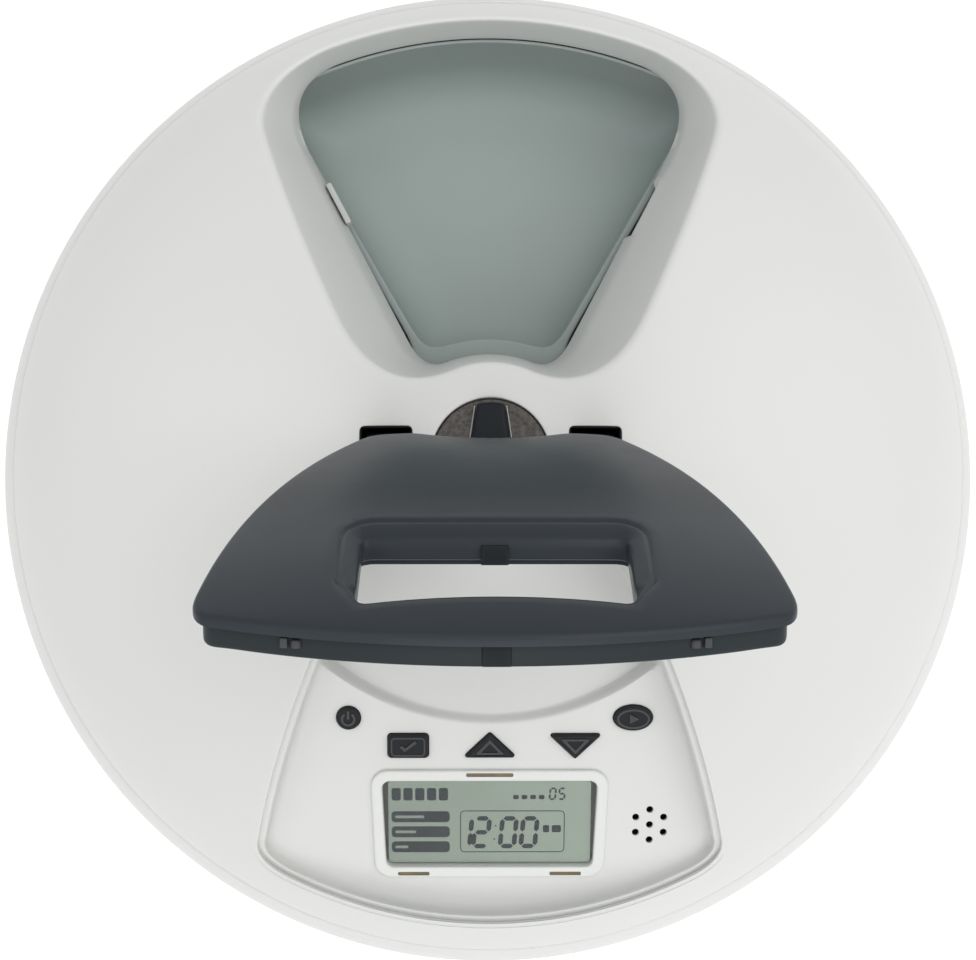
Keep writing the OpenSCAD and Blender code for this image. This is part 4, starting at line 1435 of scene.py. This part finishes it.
@dataclass
class Tray:
    """The turning food tray with its soft-cornered compartments."""

    meals: int = 6
    bottom: float = 12.0
    top: float = 52.0
    rim: float = 150.0
    side: float = 146.5
    wall: float = 2.0
    hub: float = 44.0
    bore: float = 12.1
    centre_hole: float = 7.6
    dog: tuple[float, float, float] = (7.0, 17.4, 6.4)
    post_top: float = 49.0
    cove: float = 20.0
    rays: int = 180

    def pocket(self, inset: float, round_by: float) -> np.ndarray:
        """One compartment's plan.

        Args:
            inset: how far it is moved inwards.
            round_by: how much its corners are softened.

        Returns:
            The points.
        """
        half, spoke = math.pi / self.meals, self.wall / 2 + 0.3 + inset
        near, far = self.hub + inset, self.side - self.wall - inset

        def limit(radius: float) -> float:
            """Half angle that the compartment spans at a radius, in degrees."""
            return math.degrees(half - math.asin(spoke / radius))

        plan = np.vstack([arc(near, 90 + limit(near), 90 - limit(near), 12),
                          arc(far, 90 - limit(far), 90 + limit(far), 40)])
        return soften(even(counterclockwise(plan), 1.5), round_by, 1.5)

    def build(self) -> None:
        """Makes the tray."""
        skin = Skin()
        angles = np.linspace(-math.pi, math.pi, self.rays, endpoint=False)
        centre = np.array([0.0, 98.0])
        floor = self.bottom + self.wall
        rim_loop = at_angles(self.pocket(0.0, 5.0), centre, angles)
        wall_loop = at_angles(self.pocket(1.0, 5.2), centre, angles)
        base_loop = at_angles(self.pocket(self.cove, 7.0), centre, angles)
        holes = []
        for index in range(self.meals):
            turn = math.radians(index * 360 / self.meals)
            spin = np.array([[math.cos(turn), math.sin(turn)], [-math.sin(turn), math.cos(turn)]])
            mouth, body, low = (loop @ spin for loop in (rim_loop, wall_loop, base_loop))
            outer = grow(mouth, 0.9)
            holes.append(outer)
            start = lifted(mouth, self.top - 0.9)
            skin.band(bezier(lifted(outer, self.top), lifted(mouth, self.top), start, 5))
            skin.band([start, lifted(body, floor + self.cove)])
            skin.band(bezier(lifted(body, floor + self.cove), lifted(body, floor), lifted(low, floor), 9))
            skin.lid(low, floor, 6)
        edge = 0.7
        outer = circle(self.rim - edge, 320)
        hub_edge = circle(self.centre_hole, 48)
        skin.lid(outer, self.top, 5, holes + [hub_edge])
        under, hollow, seat = self.top - self.wall, self.bottom + 0.8, self.post_top + 0.6
        profile = rounded([(self.rim - edge, self.top, 0), (self.rim, self.top, edge), (self.rim, under, 0.4),
                           (self.side, under - 0.6, 1.0), (self.side - 0.8, self.bottom, 2.5),
                           (46, self.bottom, 1.0), (42, hollow, 0.6), (20, hollow, 0.6),
                           (self.bore, self.bottom, 0.5)], count=6)
        skin.lathe(profile, 320)
        inner = np.array([(self.bore, self.bottom), (self.bore, seat), (self.centre_hole, seat),
                          (self.centre_hole, self.top)])
        skin.lathe(inner[:2], 320)
        lower = circle(self.bore, 320)
        skin.lid(lower, seat, 2, [hub_edge])
        skin.lathe(inner[2:], 48)
        tray = skin.piece("tray", TRAY, 40)
        self.cut_dogs(tray)
        fit(tray, "tray", "tray_grey", "food_tray", "tray_walls")

    def cut_dogs(self, tray: bpy.types.Object) -> None:
        """Cuts the three slots that the drive's dogs drop into.

        Args:
            tray: the tray without them.
        """
        start, end, width = self.dog
        for index in range(3):
            skin = Skin(Matrix.Rotation(math.radians(120 * index), 4, "Z"))
            plan = box_outline(start, end, -width / 2, width / 2, 0.5)
            skin.tile(counterclockwise(plan), self.post_top, self.top + 5, 0.2)
            cutter = skin.piece(f"dog_cutter_{index}", TRAY)
            cut = tray.modifiers.new("slot", "BOOLEAN")
            cut.object, cut.operation, cut.solver = cutter, "DIFFERENCE", "EXACT"
            bpy.context.view_layer.update()
            solid = tray.evaluated_get(bpy.context.evaluated_depsgraph_get())
            mesh = bpy.data.meshes.new_from_object(solid)
            tray.modifiers.clear()
            tray.data = mesh
            bpy.data.objects.remove(cutter)


@dataclass
class HandleCover:
    """The cover over the panel, which is also the handle: outer moulding, liner, arms and lugs."""

    dome: Dome
    fan: Fan
    raised: float
    pivot: tuple[float, float]
    gap: float = 0.9
    rim_drop: float = 2.9
    skin_depth: float = 2.2
    depth: float = 10.0
    liner_inset: float = 2.3
    top_inset: float = 0.1
    edge: float = 1.1
    side_drop: float = 1.9
    hand: tuple[float, float, float] = (32.5, -103.6, -129.8)
    arch: float = 2.8
    front_gap: float = 1.4
    step: float = 1.4
    arm: tuple[float, float] = (24.5, 38.5)
    groove: tuple[tuple[float, float], ...] = (
        (5.9, 0.0), (5.3, 0.3), (4.85, 0.75), (4.4, 0.8), (3.9, 0.55), (3.4, 0.6), (1.3, 2.0), (0.5, 2.5),
        (0.0, 3.4))
    head: float = 5.1
    lug_x: float = 45.6

    def swung(self) -> Matrix:
        """The frame of the raised cover, whose points are drawn closed.

        Returns:
            The frame.
        """
        y, z = self.pivot
        turn = Matrix.Rotation(math.radians(-self.raised), 4, "X")
        return Matrix.Translation((0, y, z)) @ turn @ Matrix.Translation((0, -y, -z))

    def hand_loop(self, by: float) -> np.ndarray:
        """The hand hole's plan, with an arched near edge.

        Args:
            by: how far it is moved outwards.

        Returns:
            The points.
        """
        half, near, far = self.hand
        across = np.linspace(-1, 1, 21)
        arched = [(half * t, near + self.arch * (t * t), 0) for t in across[::-1]]
        arched[0], arched[-1] = (half, near + self.arch, 3.2), (-half, near + self.arch, 3.2)
        plan = rounded(arched + [(-half, far, 2.6), (half, far, 2.6)], True)
        plan = soften(even(counterclockwise(plan), 1.0), 0.8, 1.0)
        return grow(plan, by)

    def outline(self) -> np.ndarray:
        """The cover's plan, with a wider gap in front.

        Returns:
            The points.
        """
        loop = self.fan.loop(-self.gap, self.step, 1.7)
        front = np.hypot(*loop.T) > self.fan.front_radius - self.gap - 0.6
        back = soften(np.where(front, self.front_gap, 0.0), 3.0, self.step)
        return grow(loop, -back)

    def at(self, ring: np.ndarray, drop: float | np.ndarray) -> np.ndarray:
        """A plan ring below the cover's upper face."""
        return self.dome.ring(ring, self.top_inset, drop)

    def face(self, drop: float) -> Height:
        """The height of the cover's upper face over the plan, lowered."""
        return lambda x, y: self.dome.at(x, y, self.top_inset) - drop

    def build(self) -> None:
        """Makes the cover's pieces."""
        self.outer()
        self.liner()
        self.arms()
        self.lugs()

    def outer(self) -> None:
        """Makes the outer moulding with the bevelled hand hole."""
        skin = Skin(self.swung())
        at, loop = self.at, self.outline()
        inner = grow(loop, -self.edge)
        skin.band(bezier(at(inner, 0), at(loop, 0), at(loop, self.edge), 6))
        front = np.hypot(*loop.T) > self.fan.front_radius - self.gap - 2
        below = soften(np.where(front, self.rim_drop, self.side_drop), 4.0, self.step)
        skin.band([at(loop, self.edge), at(loop, below - 0.35), at(grow(loop, -0.4), below)])
        wall_in = grow(loop, -2.0)
        skin.band([at(grow(loop, -0.4), below), at(wall_in, below), at(wall_in, self.skin_depth)])
        hand = self.hand_loop(0)
        share = np.clip((hand[:, 1] - self.hand[2] - 1.0) / 9.0, 0.0, 1.0)
        share = 0.16 + 0.84 * share * share * (3 - 2 * share)
        skin.band([at(grow(hand, out * share), drop * share) for out, drop in self.groove])
        deep, outer_wall = self.depth - 1.9, self.hand_loop(1.8)
        skin.band([at(hand, 3.4 * share), at(hand, 5.0), at(hand, deep - 0.4), at(self.hand_loop(0.4), deep),
                   at(outer_wall, deep), at(outer_wall, self.skin_depth)])
        skin.patch(inner, [grow(hand, self.groove[0][0] * share)], self.face(0.0), 3.6)
        skin.patch(wall_in, [outer_wall], self.face(self.skin_depth), 9)
        fit(skin.piece("cover", COVER, 40), "cover", "cover_grey", "handle_cover")

    def liner(self) -> None:
        """Makes the liner under the cover, with its screw hollows."""
        skin = Skin(self.swung())
        at, loop = self.at, grow(self.outline(), -self.liner_inset)
        start, depth = self.skin_depth + 0.05, self.depth
        thick = 1.7
        inner_wall = grow(loop, -thick)
        hand = self.hand_loop(2.1)
        skin.band([at(inner_wall, depth - thick), at(inner_wall, start), at(loop, start),
                   at(loop, depth - 1.6)])
        skin.band(bezier(at(loop, depth - 1.6), at(loop, depth), at(grow(loop, -1.6), depth), 5))
        skin.band([at(hand, depth), at(hand, depth - thick)])
        holes, tops = [], []
        for x, y in self.screws():
            hole = circle(2.9, 32, x, y)
            skin.band([at(grow(hole, 0.4), depth), at(hole, depth - 0.35), at(hole, depth - thick)])
            holes.append(grow(hole, 0.4))
            tops.append(hole)
        skin.patch(grow(loop, -1.6), [hand, *holes], self.face(depth), 4.5)
        skin.patch(inner_wall, [hand, *tops], self.face(depth - thick), 9)
        fit(skin.piece("cover_liner", LINER, 40), "cover", "liner_grey", "handle_liner")
        self.front_block()

    def screws(self) -> list[tuple[float, float]]:
        """Where the cover's screws stand."""
        return [(-50, -106), (50, -106), (-42, -56), (42, -56)]

    def liner_front(self) -> float:
        """Radius of the liner's front wall."""
        return self.fan.front_radius - self.gap - self.front_gap - self.liner_inset

    def front_block(self) -> None:
        """Adds a moulded block to the middle of the liner's front wall and of the hand hole's wall."""
        skin = Skin(self.swung())
        front, near = self.liner_front(), self.hand[1]
        blocks = ((-front - 0.35, -front + 2, 9.7, 3.6), (near - 1.2, near + 1.4, 8.9, 4.2))
        for y_low, y_high, drop_low, drop_high in blocks:
            plan = even(box_outline(-3.4, 3.4, y_low, y_high, 0.4), 0.6)
            z = float(self.dome.at(0.0, (y_low + y_high) / 2, self.top_inset))
            skin.tile(plan, z - drop_low, z - drop_high, 0.3)
        fit(skin.piece("cover_blocks", BLOCK), "cover", "liner_grey")

    def arms(self) -> None:
        """Makes the two hinge arms that run into the slots."""
        y, z = self.pivot
        left, right = self.arm
        for side, name in ((1, "hinge_arm_right"), (-1, "hinge_arm_left")):
            head = [(y + self.head * math.cos(a), z + self.head * math.sin(a))
                    for a in np.radians(np.linspace(-85, 85, 14))]
            profile = np.array([(-25.6, z - 5.0), *head, (-12, z + 5.2), (-25.6, z + 4.6)])
            turn = Matrix(((0, 0, side, 0), (1, 0, 0, 0), (0, 1, 0, 0), (0, 0, 0, 1)))
            skin = Skin(self.swung() @ turn)
            outline = soften(even(counterclockwise(profile), 0.8), 0.7, 0.8)
            skin.tile(outline, left, right - 0.9, 0.8)
            nodes = ["hinge_arms"] if side == 1 and "hinge_arms" in frame["nodes"] else []
            fit(skin.piece(name, LINER), "cover", "liner_grey", *nodes)

    def lugs(self) -> None:
        """Makes the two lugs that snap into the recess's front notches."""
        front = self.liner_front()
        reach = -math.sqrt(front ** 2 - self.lug_x ** 2)
        skin = Skin(self.swung())
        for x in (-self.lug_x, self.lug_x):
            z = float(self.dome.at(x, reach, self.top_inset))
            plan = even(box_outline(x - 1.2, x + 1.2, reach - 1.3, reach + 1.6, 0.9), 0.4)
            skin.tile(plan, z - 6.9, z - 4.9, 0.7, 0.2)
            side = x + math.copysign(2.9, x)
            cheek = even(box_outline(side - 0.9, side + 0.9, reach - 0.5, reach + 2.2, 0.4), 0.4)
            skin.tile(cheek, z - 7.0, z - 4.6, 0.5)
        fit(skin.piece("cover_lugs", MARK), "cover", "liner_grey")


@dataclass
class LockKnob:
    """The quarter-turn lock: a stone-grey disc with a dark grip bar."""

    radius: float
    low: float
    top: float
    grip_high: float
    bar_half: float = 4.3
    bar_middle: float = 6.2
    edge: float = 0.7

    def build(self) -> None:
        """Makes the disc and the bar."""
        disc = Skin()
        low, high = self.top - 0.5, self.grip_high
        hollow = self.low + 3.6
        profile = rounded([(0, low, 0), (self.radius - 3.2, low, 1.0), (self.radius - 2.2, self.top, 0.8),
                           (self.radius, self.top, self.edge), (self.radius, self.low, 0.4),
                           (4, self.low, 0.3), (4, hollow, 0.3), (0, hollow, 0)])
        disc.lathe(profile, 128)
        fit(disc.piece("knob_disc", KNOB), "lock", "knob_stone", "lock_knob")
        bar = Skin()
        reach = self.radius - 0.8
        end = math.sqrt(reach ** 2 - self.bar_half ** 2)
        plan = [(self.bar_half, -end), (self.bar_middle, -3.0), (self.bar_middle, 3.0), (self.bar_half, end)]
        start = math.asin(end / reach)
        tip = [(reach * math.cos(a), reach * math.sin(a)) for a in np.linspace(start, math.pi - start, 9)]
        outline = np.array(plan + tip[1:-1] + [(-x, y) for x, y in plan[::-1]]
                           + [(-x, -y) for x, y in tip[1:-1]])
        outline = soften(even(counterclockwise(outline), 0.6), 0.5, 0.6)
        shoulder = grow(outline, -0.25)
        crest = grow(outline, -1.3)
        bar.band([lifted(outline, low), lifted(shoulder, high - 1.1)])
        bar.band(bezier(lifted(shoulder, high - 1.1), lifted(shoulder, high - 0.1), lifted(crest, high), 5))
        bar.lid(crest, high, 1.6)
        bar.lid(outline, low, 3)
        nodes = ["knob_grip"] if "knob_grip" in frame["nodes"] else []
        fit(bar.piece("knob_bar", GRIP), "lock", "button_grey", *nodes)
        line = Skin()
        for side in (-1, 1):
            tip_x, middle_x = side * (self.bar_half + 0.35), side * (self.bar_middle + 0.35)
            seam = np.array([(tip_x, end - 0.6), (middle_x, 3.0), (middle_x, -3.0), (tip_x, -end + 0.6)])
            wide = np.vstack([seam, (seam + [side * 0.3, 0])[::-1]])
            line.tile(even(counterclockwise(wide), 0.4), self.top - 0.6, self.top + 0.12, 0.08)
        fit(line.piece("knob_seam", CLIP), "lock", "knob_stone")


@dataclass
class Display:
    """The display: framed window, crystal film and its dark figures."""

    panel: Panel
    half: float = 37.5
    half_low: float = 36.2
    top: float = -95.8
    bottom: float = -130.5
    frame_width: float = 3.6
    lift: float = 1.4
    film_top: float = -0.9

    SEGMENTS = {"0": "abcdef", "1": "bc", "2": "abged", "5": "acdfg"}

    def matrix(self) -> Matrix:
        """The frame in the middle of the display."""
        return self.panel.frame(0, (self.top + self.bottom) / 2)

    def length(self) -> float:
        """The bezel's length along the slope."""
        return (self.top - self.bottom) / math.cos(math.atan(self.panel.slope))

    def plan(self, inset: float, radius: float) -> np.ndarray:
        """The bezel's outline.

        Args:
            inset: how far it is moved inwards.
            radius: its corners' radius.

        Returns:
            The points.
        """
        high, wide, low = self.length() / 2 - inset, self.half - inset, self.half_low - inset
        corners = [(-wide, high, radius), (-low, -high, radius), (low, -high, radius), (wide, high, radius)]
        return counterclockwise(even(rounded(corners, True, 9), 0.8))

    def build(self) -> None:
        """Makes the bezel, its clips, the film and the figures."""
        self.bezel()
        self.film()
        self.figures()

    def pockets(self) -> list[tuple[float, float, float]]:
        """Centre and half length of each clip pocket in the bezel."""
        edge = self.length() / 2 - 1.45
        return [(0.0, edge, 7.4), (-24.0, -edge, 5.0), (24.0, -edge, 5.0)]

    def bezel(self) -> None:
        """Makes the bezel with its three clip pockets."""
        skin = Skin(self.matrix())
        outer, window = self.plan(0, 5.5), self.plan(self.frame_width, 2.4)
        skirt, crest = self.plan(2.2, 3), grow(outer, -0.75)
        skin.band([lifted(skirt, -2.4), lifted(skirt, 0.05)])
        skin.lid(outer, 0.05, 2.5, [skirt])
        skin.band([lifted(outer, 0.05), lifted(outer, self.lift - 0.75)])
        skin.band(bezier(lifted(outer, self.lift - 0.75), lifted(outer, self.lift),
                         lifted(crest, self.lift), 5))
        lip_ring, start = grow(window, 0.6), lifted(window, self.lift - 0.6)
        skin.band(bezier(lifted(lip_ring, self.lift), lifted(window, self.lift), start, 4))
        skin.band([start, lifted(window, -2.4)])
        skin.lid(skirt, -2.4, 2.5, [window])
        holes = []
        clips = Skin(self.matrix())
        for x, y, half in self.pockets():
            hole = even(box_outline(x - half, x + half, y - 0.62, y + 0.62, 0.3), 0.5)
            skin.band([lifted(hole, self.lift), lifted(hole, self.lift - 0.7)])
            skin.lid(hole, self.lift - 0.7, 1.0)
            clips.tile(grow(hole, -0.12), self.lift - 0.72, self.lift - 0.2, 0.12)
            holes.append(hole)
        skin.lid(crest, self.lift, 1.6, [lip_ring, *holes])
        fit(skin.piece("bezel", BEZEL), "lid", "bezel_white", "display_bezel")
        fit(clips.piece("bezel_clips", BRONZE), "lid", "clip_grey")

    def film(self) -> None:
        """Makes the crystal film's glass block."""
        skin = Skin(self.matrix())
        skin.tile(even(box_outline(-32.0, 32.0, -13.8, 13.8, 0.6), 1.2), -2.9, self.film_top, 0.15)
        fit(skin.piece("display_film", FILM), "lid", "display_green", "display_panel")

    def digit(self, figure: str, x: float, y: float, width: float, height: float,
              stroke: float) -> list[np.ndarray]:
        """The lit bars of one seven-bar figure.

        Args:
            figure: the figure.
            x: its left side.
            y: its lower edge.
            width: its width.
            height: its height.
            stroke: the bars' thickness.

        Returns:
            One outline for each bar.
        """
        half, gap = stroke / 2, stroke * 0.16
        places = {"a": (0, height, 1, 0), "g": (0, height / 2, 1, 0), "d": (0, 0, 1, 0),
                  "f": (0, height / 2, 0, 1), "b": (width, height / 2, 0, 1),
                  "e": (0, 0, 0, 1), "c": (width, 0, 0, 1)}
        bars = []
        for key in self.SEGMENTS[figure]:
            left, low, flat, upright = places[key]
            length = (width if flat else height / 2) - 2 * gap
            bar = np.array([(gap, 0), (gap + half, half), (gap + length - half, half), (gap + length, 0),
                            (gap + length - half, -half), (gap + half, -half)])
            if upright:
                bar = bar[:, ::-1]
            bar = bar + [left, low]
            bars.append(bar + np.stack([bar[:, 1] * 0.09 + x, np.full(len(bar), y)], axis=1))
        return bars

    def figures(self) -> None:
        """Makes the dark figures, bars and frame on the film."""
        dark, pale = Skin(self.matrix()), Skin(self.matrix())
        low, high = self.film_top - 0.02, self.film_top + 0.05
        bars: list[np.ndarray] = []
        for figure, x in (("1", -9.6), ("2", -5.2), ("0", 3.3), ("0", 9.9)):
            bars += self.digit(figure, x - (1.2 if figure == "1" else 0), -8.3, 4.4, 9.4, 1.5)
        for figure, x in (("0", 18.9), ("5", 21.8)):
            bars += self.digit(figure, x, 7.6, 1.7, 3.6, 0.6)
        bars += [circle(0.28, 12, 1.9, -1.4), circle(0.28, 12, 1.5, -5.9)]
        bars += [box_outline(-30.9 + 3.72 * k, -28.0 + 3.72 * k, 7.2, 11.4, 0.7) for k in range(5)]
        bars += [box_outline(7.4 + 2.7 * k, 9.2 + 2.7 * k, 7.6, 9.0, 0.4) for k in range(4)]
        bars += [box_outline(16.9, 18.9, -3.6, -1.2, 0.5), box_outline(19.7, 22.6, -3.6, -1.2, 0.5)]
        for y in (1.7, -3.4, -8.5):
            bars.append(box_outline(-31.0, -12.6, y - 1.85, y + 1.85, 1.2))
            line = counterclockwise(box_outline(-29.8, -21.5 + y * 0.5, y - 0.45, y + 0.45, 0.4))
            pale.tile(line, high, high + 0.03, 0.02)
        for bar in bars:
            dark.tile(counterclockwise(bar), low, high, 0.03)
        box_in = even(box_outline(-9.05, 23.5, -10.1, 3.5, 1.0), 0.8)
        box_out = grow(counterclockwise(box_in), 0.28)
        dark.band([lifted(box_out, high), lifted(box_in, high), lifted(box_in, low), lifted(box_out, low),
                   lifted(box_out, high)])
        fit(dark.piece("display_figures", INK), "lid", "display_green")
        fit(pale.piece("display_lines", PALE_INK), "lid", "display_green")


@dataclass
class WindowBars:
    """The grey bars at the window's lower edge: one stands out, the other lies in its notch."""

    apex: float = -8.8
    half_angle: float = 27.7
    start: float = 101.0
    length: float = 15.0
    width: float = 1.9
    low: float = 54.9
    high: float = 59.4

    def build(self) -> None:
        """Makes both bars."""
        skin = Skin()
        for side, inner in ((-1, -1.7), (1, 1.9)):
            turn = Matrix.Rotation(math.radians(-side * self.half_angle), 4, "Z")
            skin.frame = Matrix.Translation((0, self.apex, 0)) @ turn
            left, right = (inner, inner + self.width) if side > 0 else (-inner - self.width, -inner)
            plan = even(box_outline(left, right, self.start, self.start + self.length, 0.6), 0.6)
            skin.tile(plan, self.low, self.high, 0.5)
        fit(skin.piece("window_bars", CLIP), "lid", "clip_grey", "window_clips")


@dataclass
class Works:
    """The parts that keep their own shape and only get a finish."""

    finishes: dict[str, Finish] = field(default_factory=lambda: {
        "centre_post": NYLON, "post_screws": STEEL, "tray_glide_ring": NYLON, "lid_floor": BASE,
        "lid_seal": SEAL, "lid_screws": STEEL, "display_lens": WINDOW, "control_board": BOARD,
        "board_screws": STEEL, "keypad_mat": MAT, "speaker": BLACK, "gearbox_plate": CLIP, "gearbox_screws": STEEL,
        "drive_motor": CAN, "idler_pin": PIN, "index_switch": BLACK, "battery_box": BOX,
        "battery_contacts": SPRING, "battery_cells": CELL, "hinge_pins": PIN, "drive_gear": NYLON,
        "idler_gear": NYLON, "motor_pinion": BRASS, "lock_shaft": NYLON, "knob_screw": STEEL,
        "cover_screws": STEEL, "battery_door": BASE})

    def build(self) -> None:
        """Puts each finish on its part."""
        for node, finish in self.finishes.items():
            part = frame["nodes"][node]
            part.data.materials.clear()
            part.data.materials.append(finish.material())
            LOG.info("%s: dressed", node)


@dataclass
class Studio:
    """Floor, lights and camera."""

    target: tuple[float, float, float] = (0.0, 0.0, 48.0)
    distance: float = 551.0
    tilt: float = 4.1
    swing: float = 0.56
    lens: float = 60.97
    shift: tuple[float, float] = (-0.00097, -0.00997)

    def build(self) -> None:
        """Makes the stage."""
        self.floor()
        self.lights()
        self.camera()

    def floor(self) -> None:
        """Makes the pale floor, a wide disc with a turned-down edge."""
        skin = Skin()
        skin.lathe(np.array([(0, -0.3), (1500, -0.3), (4000, -0.3), (4010, -8)]), 96)
        disc = skin.piece("studio_floor", FLOOR)

    def light(self, name: str, place: tuple[float, float, float], size: float, watts: float,
              colour: Colour) -> None:
        """Adds a square area light that faces the feeder.

        Args:
            name: the light's name.
            place: where it hangs, in metres.
            size: its side, in metres.
            watts: its power.
            colour: its colour.
        """
        data = bpy.data.lights.new(name, "AREA")
        data.shape, data.size, data.energy, data.color = "SQUARE", size, watts, colour
        lamp = bpy.data.objects.new(name, data)
        lamp.location = place
        lamp.rotation_euler = (Vector((0, 0, 0.05)) - Vector(place)).to_track_quat("-Z", "Y").to_euler()
        bpy.context.scene.collection.objects.link(lamp)

    def lights(self) -> None:
        """Adds four soft lights and a pale world."""
        self.light("key", (1.3, 0.1, 1.9), 1.8, 13.0, (1.0, 0.995, 0.985))
        self.light("front", (0.0, -1.5, 1.9), 1.6, 13.0, (1.0, 1.0, 1.0))
        self.light("top", (0.1, 0.5, 2.2), 2.0, 6.0, (1.0, 1.0, 1.0))
        self.light("fill", (-1.5, -0.3, 1.9), 1.8, 5.0, (0.985, 0.992, 1.0))
        world = bpy.data.worlds.new("studio")
        world.use_nodes = True
        ground = world.node_tree.nodes["Background"]
        ground.inputs["Color"].default_value = (0.985, 0.99, 1.0, 1.0)
        ground.inputs["Strength"].default_value = 0.55
        bpy.context.scene.world = world
        bpy.context.scene.view_settings.view_transform = "Standard"

    def camera(self) -> None:
        """Adds the camera above the feeder."""
        tilt, swing = math.radians(self.tilt), math.radians(self.swing)
        back = Vector((-math.sin(swing), -math.sin(tilt) * math.cos(swing), math.cos(tilt) * math.cos(swing)))
        up = (Vector((0, 1, 0)) - back * back.y).normalized()
        across = up.cross(back)
        data = bpy.data.cameras.new("camera")
        data.lens, data.sensor_width = self.lens, 36.0
        data.shift_x, data.shift_y = self.shift
        camera = bpy.data.objects.new("camera", data)
        camera.matrix_world = Matrix((across, up, back)).transposed().to_4x4()
        camera.location = (Vector(self.target) + back * self.distance) * MM
        bpy.context.scene.collection.objects.link(camera)
        bpy.context.scene.camera = camera


def main() -> None:
    """Builds the feeder's pieces and the stage, in order."""
    logging.basicConfig(level=logging.INFO, format="%(message)s")
    base_high = span("base_shell")[1]
    knob_low, knob_high = span("lock_knob")
    pin_low, pin_high = span("hinge_pins")
    dome = Dome(round(float(base_high[0]), 0), RIM_HEIGHT, DOME_RISE)
    panel, fan = Panel(), Fan()
    swing = next(joint for joint in frame["joints"] if joint["name"] == "cover_swing")
    raised = -float(swing["range_deg"][0]) if "range_deg" in swing else RAISED_DEGREES
    pivot = tuple(float(value) for value in ((pin_low + pin_high) / 2)[1:])
    grip_high = span("knob_grip")[1][2] if "knob_grip" in frame["nodes"] else knob_high[2]
    knob = LockKnob(float(knob_high[0]), float(knob_low[2]), KNOB_TOP, float(grip_high))
    parts = [Studio(), Works(), Base(dome), Tray(), Lid(dome, panel, fan),
             HandleCover(dome, fan, raised, pivot), knob, Display(panel), WindowBars()]
    for part in parts:
        part.build()
        LOG.info("built %s", type(part).__name__)
    for button in BUTTONS:
        button.build(panel)
    bpy.context.view_layer.update()


if __name__ == "__main__":
    main()
